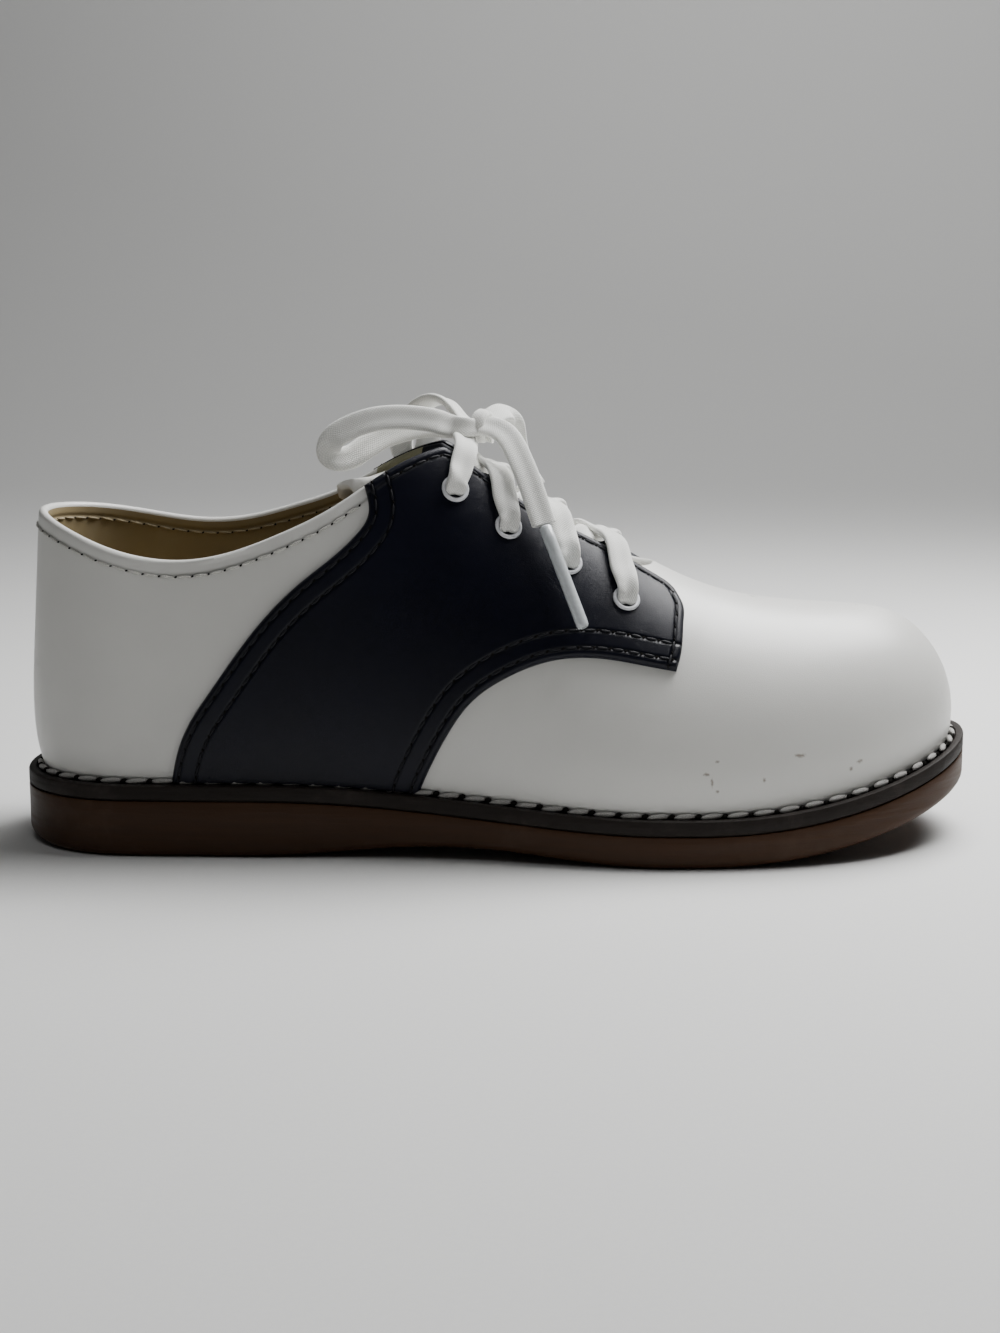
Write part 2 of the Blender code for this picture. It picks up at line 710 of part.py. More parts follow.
def build_eyelet(name, centre, axis, material):
    """A turned metal eyelet: a rounded flange on the saddle and a barrel through the wall."""
    inner = EYELET_INNER / 2
    barrel = inner + EYELET_BARREL
    outer = EYELET_OUTER / 2
    top = EYELET_SEAT + EYELET_FLANGE
    crown = (inner + outer) / 2
    profile = (
        (inner, -UPPER_WALL),
        (inner, top - EYELET_FLANGE / 2),
        (crown, top),
        (outer, EYELET_SEAT + EYELET_FLANGE / 2),
        (outer, EYELET_SEAT),
        (barrel, EYELET_SEAT),
        (barrel, -UPPER_WALL),
        (inner, -UPPER_WALL),
    )
    return solid(name, turned_panels(profile, centre, axis, EYELET_SEGMENTS), material)


def build_hole_cutter(name, frames, material):
    """The drills for one facing's eyelet holes, kept out of the finished shoe."""
    radius = EYELET_INNER / 2 + EYELET_BARREL + CLEARANCE
    reach = 2 * UPPER_WALL
    panels = []
    for centre, axis in frames:
        profile = ((0.0, -reach), (radius, -reach), (radius, reach), (0.0, reach))
        panels += turned_panels(profile, centre, axis, EYELET_SEGMENTS)
    cutter = solid(name, panels, material)
    hide(cutter)
    return cutter


def hide(piece):
    """Marks a guide that only shapes another piece."""
    piece.hide_render = True
    piece.display_type = "WIRE"


def combine(piece, other, operation):
    """Cuts another object out of a piece, or joins it to the piece."""
    modifier = piece.modifiers.new(other.name, "BOOLEAN")
    modifier.operation = operation
    modifier.solver = "EXACT"
    modifier.object = other


def build_lace(name, points, steps, faces, material):
    """A flat lace along a route, its flat side turned from the first face to the last."""
    line = smooth_route(points, np.linspace(0, 1, steps + 1))
    tangent = np.gradient(line, axis=0)
    tangent /= np.linalg.norm(tangent, axis=1, keepdims=True)
    share = np.linspace(0, 1, len(line))[:, None]
    face = (1 - share) * np.array(faces[0], float) + share * np.array(faces[1], float)
    wide = np.cross(tangent, face)
    wide /= np.linalg.norm(wide, axis=1, keepdims=True)
    thick = np.cross(wide, tangent)
    half = LACE_WIDTH / 2
    flat = half - LACE_THICKNESS / 2
    rise = LACE_THICKNESS / 2
    section = ((half, 0), (flat, rise), (-flat, rise), (-half, 0), (-flat, -rise), (flat, -rise))
    rings = np.stack([line + across * wide + up * thick for across, up in section], axis=1)
    rings = np.concatenate([rings, rings[:, :1]], axis=1)
    panels = grid_panels(rings) + [tuple(rings[0, :-1]), tuple(rings[-1, :-1])]
    return solid(name, panels, material)


def over_facing(eyelet, edge_along, side):
    """Route of a lace from its eyelet up over the facing to the facing's edge."""
    lie = EYELET_SEAT + EYELET_FLANGE + CLEARANCE + LACE_THICKNESS / 2
    start = angle_at_height(eyelet.along, side, eyelet.height * INSTEP_HEIGHT)
    edge = float(edge_angle(edge_along, side))
    share = np.linspace(0, 1, 4)
    along = eyelet.along + (edge_along - eyelet.along) * share
    return last_point(along, side, start + (edge - start) * share, lie)


def lace_strand(eyelet, next_eyelet, side, level):
    """Route of a lace from one eyelet over the facing's edge and down at the other edge."""
    over = over_facing(eyelet, 0.8 * eyelet.along + 0.2 * next_eyelet.along, side)
    tuck_along = 0.25 * eyelet.along + 0.75 * next_eyelet.along
    tuck = last_point(tuck_along, -side, edge_angle(tuck_along, -side))
    middle = (over[-1] + tuck) / 2 + (0, 0, level)
    tuck = tuck + (0, side * LACE_TUCK, level / 2)
    return np.concatenate([over, [middle, tuck]])


def build_crossing(name, eyelet, next_eyelet, material):
    """Two laces that cross between the facings, joined where they touch."""
    axes = {side: eyelet_frame(eyelet, side)[1] for side in SIDES.values()}
    between = axes[LATERAL] + axes[MEDIAL]
    pieces = []
    for label, side, level in ((name, LATERAL, LACE_LEVEL), (name + "_under", MEDIAL, 0.0)):
        points = lace_strand(eyelet, next_eyelet, side, level)
        pieces.append(build_lace(label, points, STRAND_STEPS, (axes[side], between), material))
    hide(pieces[1])
    combine(pieces[0], pieces[1], "UNION")
    return pieces[0]


def build_bar(material):
    """The straight lace between the lowest eyelets, lying on the tongue."""
    along = np.full(5, EYELETS[-1].along)
    lie = LACE_THICKNESS / 2 + 2 * CLEARANCE
    points = tongue_points(along, np.linspace(-BAR_REACH, BAR_REACH, len(along)), -lie)
    up = eyelet_frame(EYELETS[-1], LATERAL)[1] + eyelet_frame(EYELETS[-1], MEDIAL)[1]
    return build_lace("lace_bar", points, 4, (up, up), material)


def build_knot(material):
    """The knot with the two laces that rise to it from the top eyelets."""
    mesh = bmesh.new()
    bmesh.ops.create_uvsphere(mesh, u_segments=10, v_segments=6, radius=1.0)
    bmesh.ops.scale(mesh, verts=mesh.verts, vec=KNOT_RADII)
    bmesh.ops.translate(mesh, verts=mesh.verts, vec=KNOT_CENTRE)
    knot = place("lace_knot", mesh, material)
    for name, to_knot, side in (("near", NEAR_RISE, LATERAL), ("far", FAR_RISE, MEDIAL)):
        route = np.concatenate([over_facing(EYELETS[0], RISE_ALONG, side), to_knot])
        faces = (eyelet_frame(EYELETS[0], side)[1], (0.0, side * 0.3, 1.0))
        riser = build_lace(f"lace_riser_{name}", route, 8, faces, material)
        hide(riser)
        combine(knot, riser, "UNION")
    return knot


def build_aglet(name, ends, material):
    """The stiff tip of a lace."""
    start, end = np.array(ends)
    length = np.linalg.norm(end - start)
    axis = (end - start) / length
    radius = AGLET_DIAMETER / 2
    profile = ((0.0, 0.0), (radius, 0.0), (radius, length), (0.0, length))
    return solid(name, turned_panels(profile, start, axis, AGLET_SEGMENTS), material)


def build_shoe():
    """Builds every piece of the shoe."""
    for old in list(bpy.data.objects):
        bpy.data.objects.remove(old, do_unlink=True)
    white = finish("white_leather", (0.80, 0.79, 0.76), 0.35)
    navy = finish("navy_leather", (0.010, 0.013, 0.028), 0.42)
    rubber = finish("brown_rubber", (0.11, 0.040, 0.022), 0.5)
    welting = finish("dark_welt", (0.040, 0.030, 0.026), 0.6)
    sock = finish("tan_sock", (0.36, 0.29, 0.17), 0.7)
    cotton = finish("white_cotton", (0.82, 0.82, 0.80), 0.9)
    enamel = finish("white_enamel", (0.80, 0.81, 0.84), 0.3)
    build_outsole(rubber)
    build_welt(welting)
    build_insole(sock)
    upper = build_upper(white)
    build_tongue(white)
    for name, side in SIDES.items():
        saddle = build_saddle(name, side, navy)
        frames = [eyelet_frame(eyelet, side) for eyelet in EYELETS]
        cutter = build_hole_cutter(f"holes_{name}", frames, enamel)
        combine(upper, cutter, "DIFFERENCE")
        combine(saddle, cutter, "DIFFERENCE")
        for number, (centre, axis) in enumerate(frames, 1):
            build_eyelet(f"eyelet_{name}_{number}", centre, axis, enamel)
    for number in range(1, len(EYELETS)):
        build_crossing(f"lace_cross_{number}", EYELETS[number], EYELETS[number - 1], cotton)
    build_bar(cotton)
    build_knot(cotton)
    towards_near = ((0.0, -0.95, 0.3), (0.0, -0.95, 0.3))
    build_lace("lace_loop_near", NEAR_LOOP, 20, towards_near, cotton)
    build_lace("lace_loop_far", FAR_LOOP, 18, ((0.0, 0.2, 1.0), (0.0, 1.0, 0.2)), cotton)
    build_lace("lace_end_near", NEAR_END, 10, ((0.2, -0.7, 0.7), (0.1, -0.9, 0.4)), cotton)
    build_lace("lace_end_far", FAR_END, 10, ((0.2, 0.5, 0.8), (0.1, 0.9, 0.4)), cotton)
    build_aglet("aglet_near", NEAR_AGLET, enamel)
    build_aglet("aglet_far", FAR_AGLET, enamel)


build_shoe()
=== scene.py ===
"""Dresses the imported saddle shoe: leather, stitching, welt, laces and bow, camera and light.

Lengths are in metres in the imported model's own frame: the toe points to +X, the outer
(lateral) side of this right shoe to -Y, and up is +Z. Upper, saddle, tongue, welt and sole
follow the same last as the solids do, with more and rounder divisions.
"""

import logging
import math
from dataclasses import dataclass, field
from enum import Enum
from typing import Any, Callable, NamedTuple, Sequence

import bmesh
import bpy
import numpy as np
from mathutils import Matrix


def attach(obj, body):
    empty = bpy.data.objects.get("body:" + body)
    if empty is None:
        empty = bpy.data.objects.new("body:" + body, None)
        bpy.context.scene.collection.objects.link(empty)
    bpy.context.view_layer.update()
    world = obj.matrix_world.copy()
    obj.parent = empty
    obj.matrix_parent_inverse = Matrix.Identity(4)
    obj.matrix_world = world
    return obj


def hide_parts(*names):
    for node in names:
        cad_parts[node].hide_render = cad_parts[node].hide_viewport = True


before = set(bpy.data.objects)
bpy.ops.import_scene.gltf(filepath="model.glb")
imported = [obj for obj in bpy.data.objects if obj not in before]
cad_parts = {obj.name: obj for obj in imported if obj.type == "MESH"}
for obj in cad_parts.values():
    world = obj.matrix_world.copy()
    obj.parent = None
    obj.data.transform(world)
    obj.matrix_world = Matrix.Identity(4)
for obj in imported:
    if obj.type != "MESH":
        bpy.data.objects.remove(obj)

LOG = logging.getLogger("saddle_shoe")
RIGHT_ANGLE = math.pi / 2
WELD = 0.000002
HAIR = 0.00002
STITCH_LIFT = 0.00003
PROBE_ANGLE = 0.01
CORNER_MIDDLE = 0.3
Vector3 = tuple[float, float, float]
Curve1D = Callable[[Any], np.ndarray]


class Side(Enum):
    """The two sides of the shoe, with the sign of their Y direction."""

    LATERAL = -1
    MEDIAL = 1


class Section(NamedTuple):
    """One section of the last: shares of the length, half ball width and instep height."""

    along: float
    half_width: float
    centre: float
    roof: float
    power: float
    swell: float


class TopLine(NamedTuple):
    """Height of the collar's edge on each side, as shares of the instep height."""

    along: float
    lateral: float
    medial: float


class Gap(NamedTuple):
    """Half the gap between the facings, as a share of half the ball width."""

    along: float
    half_gap: float


class TongueLine(NamedTuple):
    """One section of the tongue's middle line and of how far its sides curl up."""

    along: float
    height: float
    curl: float
    half_width: float
    shift: float


class Mark(NamedTuple):
    """A place on the last: share of the length, and share of the turn from welt to ridge."""

    along: float
    up: float


class Eyelet(NamedTuple):
    """An eyelet's place: share of the length, and share of the instep height."""

    along: float
    height: float


class Crease(NamedTuple):
    """A crease: place on X, share of the turn from welt to ridge, half widths and rise."""

    place: float
    middle: float
    width: float
    reach: float
    rise: float


class Lamp(NamedTuple):
    """A square soft light."""

    name: str
    place: Vector3
    aim: Vector3
    size: float
    power: float


SECTIONS = (
    Section(0.00, 0.700, -0.026, 1.590, 2.30, 0.050),
    Section(0.13, 0.705, -0.026, 1.580, 2.30, 0.040),
    Section(0.25, 0.715, -0.041, 1.443, 2.30, 0.030),
    Section(0.36, 0.700, -0.066, 1.227, 2.25, 0.030),
    Section(0.44, 0.730, -0.076, 1.085, 2.15, 0.030),
    Section(0.52, 0.807, -0.074, 0.926, 1.95, 0.030),
    Section(0.60, 0.920, -0.051, 0.798, 1.85, 0.034),
    Section(0.66, 0.978, -0.031, 0.708, 1.88, 0.036),
    Section(0.72, 1.000, -0.003, 0.640, 2.00, 0.034),
    Section(0.80, 1.006, 0.028, 0.598, 2.20, 0.030),
    Section(0.90, 1.010, 0.066, 0.580, 2.30, 0.030),
    Section(1.00, 1.020, 0.107, 0.540, 2.35, 0.030),
)
TOP_LINE = (
    TopLine(0.00, 0.848, 0.848),
    TopLine(0.04, 0.812, 0.838),
    TopLine(0.10, 0.761, 0.815),
    TopLine(0.17, 0.737, 0.793),
    TopLine(0.22, 0.756, 0.802),
    TopLine(0.27, 0.799, 0.833),
    TopLine(0.33, 0.869, 0.885),
    TopLine(0.38, 0.946, 0.952),
    TopLine(0.43, 0.998, 1.000),
    TopLine(0.48, 1.015, 1.018),
)
FACING_GAP = (
    Gap(0.36, 0.400),
    Gap(0.44, 0.285),
    Gap(0.52, 0.260),
    Gap(0.60, 0.248),
    Gap(0.668, 0.245),
)
SADDLE_BACK = (
    Mark(0.156, 0.000),
    Mark(0.170, 0.038),
    Mark(0.196, 0.080),
    Mark(0.238, 0.150),
    Mark(0.290, 0.241),
    Mark(0.330, 0.316),
    Mark(0.352, 0.371),
    Mark(0.365, 0.430),
    Mark(0.360, 0.471),
)
SADDLE_LOWER_FRONT = (
    Mark(0.417, 0.000),
    Mark(0.428, 0.034),
    Mark(0.452, 0.112),
    Mark(0.472, 0.171),
    Mark(0.505, 0.247),
    Mark(0.540, 0.316),
    Mark(0.580, 0.373),
    Mark(0.630, 0.412),
    Mark(0.683, 0.430),
)
SADDLE_FRONT_END = (
    Mark(0.625, 0.800),
    Mark(0.655, 0.795),
    Mark(0.675, 0.785),
    Mark(0.688, 0.745),
    Mark(0.694, 0.690),
    Mark(0.693, 0.610),
    Mark(0.689, 0.496),
    Mark(0.683, 0.430),
)
EYELETS = (
    Eyelet(0.4525, 0.899),
    Eyelet(0.5075, 0.806),
    Eyelet(0.5710, 0.716),
    Eyelet(0.6310, 0.627),
)
TONGUE_LINE = (
    TongueLine(0.335, 0.880, 0.042, 0.275, -0.045),
    TongueLine(0.380, 0.925, 0.030, 0.385, -0.035),
    TongueLine(0.430, 0.955, 0.005, 0.410, -0.025),
    TongueLine(0.500, 0.882, 0.000, 0.420, -0.020),
    TongueLine(0.580, 0.762, 0.000, 0.400, -0.010),
    TongueLine(0.640, 0.675, 0.000, 0.360, 0.000),
    TongueLine(0.690, 0.605, 0.000, 0.300, 0.000),
)

CREASES = (
    Crease(0.030, 0.55, 0.0040, 0.18, -0.00022),
    Crease(0.041, 0.62, 0.0050, 0.22, 0.00016),
    Crease(0.049, 0.60, 0.0045, 0.25, -0.00018),
    Crease(-0.060, 0.30, 0.0120, 0.20, -0.00030),
    Crease(-0.084, 0.34, 0.0100, 0.16, 0.00025),
)
CREASE_SLANT = 0.02
LAMPS = (
    Lamp("overhead", (0.21, 0.15, 0.46), (0.06, 0.02, 0.02), 0.34, 6.6),
    Lamp("backdrop_wash", (0.4, 0.9, 1.5), (0.3, 1.8, 0.4), 0.8, 13.0),
    Lamp("fill", (-0.1, -0.35, 0.9), (0.0, 0.0, 0.07), 0.4, 0.9),
)

# The free lace lies where its solids lie: the same listed routes
NEAR_LOOP = (
    (-0.0104, -0.0066, 0.0925),
    (-0.0133, -0.0086, 0.0935),
    (-0.0170, -0.0102, 0.0943),
    (-0.0230, -0.0116, 0.0947),
    (-0.0285, -0.0126, 0.0940),
    (-0.0335, -0.0132, 0.0921),
    (-0.0368, -0.0134, 0.0893),
    (-0.0370, -0.0127, 0.0866),
    (-0.0341, -0.0113, 0.0856),
    (-0.0300, -0.0092, 0.0876),
    (-0.0255, -0.0068, 0.0902),
    (-0.0205, -0.0050, 0.0918),
    (-0.0155, -0.0036, 0.0925),
    (-0.0104, -0.0026, 0.0922),
)
FAR_LOOP = (
    (-0.0080, 0.0029, 0.0933),
    (-0.0100, 0.0052, 0.0957),
    (-0.0118, 0.0072, 0.0973),
    (-0.0140, 0.0095, 0.0978),
    (-0.0180, 0.0135, 0.0960),
    (-0.0212, 0.0175, 0.0920),
    (-0.0228, 0.0207, 0.0870),
    (-0.0215, 0.0222, 0.0835),
    (-0.0185, 0.0216, 0.0838),
    (-0.0165, 0.0185, 0.0875),
    (-0.0150, 0.0125, 0.0912),
    (-0.0128, 0.0065, 0.0932),
)
NEAR_END = (
    (-0.0025, -0.0062, 0.0925),
    (0.0010, -0.0095, 0.0912),
    (0.0040, -0.0135, 0.0870),
    (0.0062, -0.0168, 0.0820),
    (0.0080, -0.0192, 0.0770),
    (0.0097, -0.0212, 0.0722),
)
FAR_END = (
    (-0.0026, 0.0003, 0.0933),
    (0.0010, 0.0050, 0.0950),
    (0.0032, 0.0100, 0.0925),
    (0.0042, 0.0140, 0.0870),
    (0.0060, 0.0168, 0.0815),
    (0.0090, 0.0190, 0.0765),
)
NEAR_AGLET = ((0.0099, -0.0214, 0.0718), (0.0180, -0.0306, 0.0510))
FAR_AGLET = ((0.0091, 0.0192, 0.0761), (0.0150, 0.0275, 0.0550))
NEAR_RISE = ((-0.0074, -0.0082, 0.0912), (-0.0058, -0.0046, 0.0913))
FAR_RISE = ((-0.0074, 0.0032, 0.0912), (-0.0058, -0.0004, 0.0913))
KNOT_CENTRE = (-0.0050, -0.0025, 0.0915)


class FreeLace(NamedTuple):
    """A loop or an end of the bow: the piece, its solid, its route and what it carries."""

    name: str
    node: str
    route: tuple[Vector3, ...]
    lead: tuple[Vector3, ...]
    faces: tuple[Vector3, ...]
    tip: tuple[str, str, tuple[Vector3, Vector3]] | None = None


FREE_LACES = (
    FreeLace(
        name="bow_loop_near",
        node="lace_loop_near",
        route=NEAR_LOOP,
        lead=((-0.0042, -0.0047, 0.0921), (-0.0072, -0.0068, 0.0922)),
        faces=((0, -0.95, 0.3), (0, -0.95, 0.3)),
    ),
    FreeLace(
        name="bow_loop_far",
        node="lace_loop_far",
        route=FAR_LOOP,
        lead=((-0.0058, 0.0001, 0.0925),),
        faces=((0, 0.2, 1.0), (0, 1.0, 0.2)),
    ),
    FreeLace(
        name="lace_tail_near",
        node="lace_end_near",
        route=NEAR_END,
        lead=((-0.0060, -0.0019, 0.0923),),
        faces=((0.1, -0.75, 0.65), (0.15, -0.95, 0.35), (0.25, -0.95, 0.3)),
        tip=("lace_tip_near", "aglet_near", NEAR_AGLET),
    ),
    FreeLace(
        name="lace_tail_far",
        node="lace_end_far",
        route=FAR_END,
        lead=((-0.0054, -0.0035, 0.0923),),
        faces=((0.1, -0.5, 0.85), (0.0, -0.85, 0.5), (0.4, -0.9, 0.2)),
        tip=("lace_tip_far", "aglet_far", FAR_AGLET),
    ),
)
# A lace tip's profile: radius, and distance from its mouth or from its rounded end
TIP_MOUTH = ((0.0, 0.0), (0.00110, 0.0), (0.00140, 0.0003), (0.00140, 0.0040), (0.00136, 0.0045))
TIP_END = ((0.00136, 0.0012), (0.00128, 0.0005), (0.00105, 0.0001), (0.0, 0.0))
# How the lace's width changes along it: pressed together in an eyelet and at the knot
FROM_KNOT = ((0.0, 0.60), (0.05, 0.80), (0.14, 1.0), (1.0, 1.0))
TO_FACING = ((0.0, 0.74), (0.10, 0.76), (0.28, 1.0), (1.0, 0.95))
TO_KNOT = ((0.0, 0.74), (0.10, 0.76), (0.30, 0.95), (0.8, 1.0), (1.0, 0.75))


def smooth_line(places: Sequence[float], values: Sequence[float]) -> Curve1D:
    """A function through the given points with continuous curvature (a natural cubic).

    Args:
        places: Rising positions.
        values: The value at each position.

    Returns:
        A function of a position or an array of positions.
    """
    x = np.asarray(places, float)
    y = np.asarray(values, float)
    gap = np.diff(x)
    slope = np.diff(y) / gap
    count = len(x)
    system = np.eye(count)
    right = np.zeros(count)
    for i in range(1, count - 1):
        system[i, i - 1 : i + 2] = gap[i - 1], 2 * (gap[i - 1] + gap[i]), gap[i]
        right[i] = 6 * (slope[i] - slope[i - 1])
    bend = np.linalg.solve(system, right)

    def value(at: Any) -> np.ndarray:
        """The cubic's value at a position.

        Args:
            at: One position or an array of them.

        Returns:
            The values there.
        """
        at = np.clip(np.asarray(at, float), x[0], x[-1])
        i = np.clip(np.searchsorted(x, at) - 1, 0, count - 2)
        ahead = (x[i + 1] - at) / gap[i]
        behind = (at - x[i]) / gap[i]
        cubic = (ahead**3 - ahead) * bend[i] + (behind**3 - behind) * bend[i + 1]
        return ahead * y[i] + behind * y[i + 1] + cubic * gap[i] ** 2 / 6

    return value


def smooth_route(points: Any, shares: np.ndarray) -> np.ndarray:
    """Points of the smooth curve through a route.

    Args:
        points: The route's rows.
        shares: Where to read it, as shares of its length.

    Returns:
        One row for each share.
    """
    rows = np.array(points, float)
    run = np.concatenate([[0], np.cumsum(np.linalg.norm(np.diff(rows, axis=0), axis=1))])
    at = run[-1] * shares
    return np.stack([smooth_line(run, column)(at) for column in rows.T], axis=-1)


def ramp(value: Any, start: float, end: float) -> np.ndarray:
    """0 before start, 1 after end, straight between them."""
    return np.clip((np.asarray(value, float) - start) / (end - start), 0, 1)


def ease(value: Any, start: float, end: float) -> np.ndarray:
    """0 before start, 1 after end, smooth between them."""
    t = ramp(value, start, end)
    return t * t * (3 - 2 * t)


def unit(vector: np.ndarray) -> np.ndarray:
    """The vectors of an array brought to length one."""
    return vector / np.maximum(np.linalg.norm(vector, axis=-1, keepdims=True), 1e-12)


def run_length(line: np.ndarray) -> np.ndarray:
    """Length along a line of points, from its start to each point."""
    steps = np.linalg.norm(np.diff(line, axis=0), axis=-1)
    return np.concatenate([np.zeros((1,) + steps.shape[1:]), np.cumsum(steps, axis=0)])


def distance_to(points: np.ndarray, line: np.ndarray) -> np.ndarray:
    """Distance from each point of an array to the nearest stretch of a line of points.

    Args:
        points: An array of points of any shape.
        line: The line's points.

    Returns:
        The distances, in the shape of the points.
    """
    flat = points.reshape(-1, 3)
    best = np.full(len(flat), np.inf)
    for start, end in zip(line[:-1], line[1:]):
        along = end - start
        share = np.clip((flat - start) @ along / max(float(along @ along), 1e-18), 0, 1)
        gap = np.linalg.norm(flat - start - share[:, None] * along, axis=1)
        best = np.minimum(best, gap)
    return best.reshape(points.shape[:-1])


@dataclass(frozen=True)
class Last:
    """The shape that every piece of the shoe follows, worked out from a few sizes."""

    length: float = 0.215
    ball_width: float = 0.0783
    instep_height: float = 0.088
    heel_stack: float = 0.016
    ball_stack: float = 0.0107
    arch_rise: float = 0.0027
    toe_spring: float = 0.0125
    heel_bevel: float = 0.0014
    clearance: float = 0.0003
    welt_margin: float = 0.0035
    upper_wall: float = 0.002
    heel_round: float = 0.13
    heel_fullness: float = 2.2
    toe_round: float = 0.72
    toe_fullness: float = 2.1
    heel_flat: tuple[float, float] = (0.07, 0.24)
    ball_flat: tuple[float, float] = (0.665, 0.70)
    stack_taper: tuple[float, float] = (0.25, 0.66)
    heel_fan: float = 0.165
    heel_fan_reach: float = 0.158
    toe_fan: float = 0.71
    toe_fan_reach: float = 0.405
    facing_top: float = 0.436
    throat_round: float = 0.630
    throat_end: float = 0.668
    swell_height: float = 0.17
    lines: dict[str, Curve1D] = field(default_factory=dict)

    def __post_init__(self) -> None:
        """Turns the tables into smooth functions, in metres."""
        half = self.ball_width / 2
        tall = self.instep_height
        for name, scale in (
            ("half_width", half),
            ("centre", half),
            ("roof", tall),
            ("power", 1.0),
            ("swell", half),
        ):
            self.lines[name] = self._column(SECTIONS, name, scale)
        self.lines["top_-1"] = self._column(TOP_LINE, "lateral", tall)
        self.lines["top_1"] = self._column(TOP_LINE, "medial", tall)
        self.lines["gap"] = self._column(FACING_GAP, "half_gap", half)
        for name, scale in (("height", tall), ("curl", tall), ("half_width", half), ("shift", half)):
            self.lines["tongue_" + name] = self._column(TONGUE_LINE, name, scale)

    @staticmethod
    def _column(rows: Sequence[Any], name: str, scale: float) -> Curve1D:
        """The smooth function of one column of a table, times a size."""
        return smooth_line([row.along for row in rows], [getattr(row, name) * scale for row in rows])

    def share_of(self, x: Any) -> np.ndarray:
        """A place on the X axis as a share of the shoe's length."""
        return np.asarray(x, float) / self.length + 0.5

    def spring_at(self, x: Any) -> np.ndarray:
        """How far the forepart rises towards the toe."""
        return self.toe_spring * ramp(self.share_of(x), self.ball_flat[1], 1) ** 2

    def underside_at(self, x: Any) -> np.ndarray:
        """Height of the outsole's underside.

        Args:
            x: Places along the X axis.

        Returns:
            The heights.
        """
        share = self.share_of(x)
        arch = np.sin(math.pi * ramp(share, self.heel_flat[1], self.ball_flat[0])) ** 2
        bevel = ramp(-share, -self.heel_flat[0], 0) ** 2
        return self.arch_rise * arch + self.heel_bevel * bevel + self.spring_at(x)

    def seat_at(self, x: Any) -> np.ndarray:
        """Height of the welt's top, on which the upper stands."""
        eased = ease(self.share_of(x), *self.stack_taper)
        return self.heel_stack + (self.ball_stack - self.heel_stack) * eased + self.spring_at(x)

    def closure(self, share: np.ndarray) -> np.ndarray:
        """Narrows the outline to nothing at the heel's back and at the toe's tip.

        Args:
            share: Shares of the shoe's length.

        Returns:
            Factors from 0 to 1.
        """
        heel = 1 - ramp(share, 0, self.heel_round)
        toe = ramp(share, self.toe_round, 1)
        round_heel = np.maximum(1 - heel**self.heel_fullness, 0) ** (1 / self.heel_fullness)
        round_toe = np.maximum(1 - toe**self.toe_fullness, 0) ** (1 / self.toe_fullness)
        return round_heel * round_toe

    def outline(self, share: np.ndarray, side: Side, inset: float) -> tuple[np.ndarray, np.ndarray]:
        """Plan position of a point of the sole's outline, moved inwards by inset.

        Args:
            share: Shares of the shoe's length.
            side: The shoe's side.
            inset: How far inwards.

        Returns:
            The x and y places.
        """
        x = (share - 0.5) * (self.length - 2 * inset)
        half = (self.lines["half_width"](share) - inset) * self.closure(share)
        return x, self.lines["centre"](share) + side.value * half

    def outline_normal(self, share: np.ndarray, side: Side) -> tuple[np.ndarray, np.ndarray]:
        """The outward direction of the feather line in plan.

        Args:
            share: Shares of the shoe's length.
            side: The shoe's side.

        Returns:
            Its x and y parts.
        """
        step = 0.0001
        x0, y0 = self.outline(np.maximum(share - step, 0), side, self.welt_margin)
        x1, y1 = self.outline(np.minimum(share + step, 1), side, self.welt_margin)
        length = np.hypot(x1 - x0, y1 - y0)
        return side.value * (y0 - y1) / length, side.value * (x1 - x0) / length

    def fan_foot(self, x: np.ndarray) -> np.ndarray:
        """Where the section that starts at x on the feather line meets the last's ridge.

        Args:
            x: Places along the X axis.

        Returns:
            The x places on the ridge.
        """
        heel_past = np.maximum((self.heel_fan - 0.5) * self.length - x, 0)
        toe_past = np.maximum(x - (self.toe_fan - 0.5) * self.length, 0)
        heel_reach = 2 * self.heel_fan_reach * self.length
        toe_reach = 2 * self.toe_fan_reach * self.length
        return x + heel_past**2 / heel_reach - toe_past**2 / toe_reach

    def surface(self, share: Any, side: Side, angle: Any) -> np.ndarray:
        """A point of the upper's outer surface, at an angle up from the feather line.

        Args:
            share: Shares of the shoe's length.
            side: The shoe's side.
            angle: Angles up from the feather line.

        Returns:
            The points.
        """
        share, angle = np.broadcast_arrays(np.asarray(share, float), np.asarray(angle, float))
        foot_x, foot_y = self.outline(share, side, self.welt_margin)
        ridge_x = self.fan_foot(foot_x)
        ridge_y = self.lines["centre"](self.share_of(ridge_x))
        cosine, sine = np.cos(angle), np.sin(angle)
        power = 2 / self.lines["power"](share)
        out = np.sign(cosine) * np.abs(cosine) ** power
        lift = np.sign(sine) * np.abs(sine) ** power
        x = ridge_x + (foot_x - ridge_x) * out
        y = ridge_y + (foot_y - ridge_y) * out
        seat = self.seat_at(foot_x) + self.clearance
        z = seat + (self.lines["roof"](self.share_of(x)) - seat) * lift
        rise = (z - seat) / (self.swell_height * self.instep_height)
        swell = self.lines["swell"](share) * rise * np.exp(1 - rise) * out
        away_x, away_y = self.outline_normal(share, side)
        return np.stack([x + away_x * swell, y + away_y * swell, z], axis=-1)

    def normal(self, share: Any, side: Side, angle: Any) -> np.ndarray:
        """The outward direction of the upper's surface.

        Args:
            share: Shares of the shoe's length.
            side: The shoe's side.
            angle: Angles up from the feather line.

        Returns:
            The directions.
        """
        step = 0.0001
        share, angle = np.broadcast_arrays(np.asarray(share, float), np.asarray(angle, float))
        ahead = self.surface(np.minimum(share + step, 1), side, angle)
        behind = self.surface(np.maximum(share - step, 0), side, angle)
        above = self.surface(share, side, angle + step)
        below = self.surface(share, side, angle - step)
        return unit(-side.value * np.cross(ahead - behind, above - below))

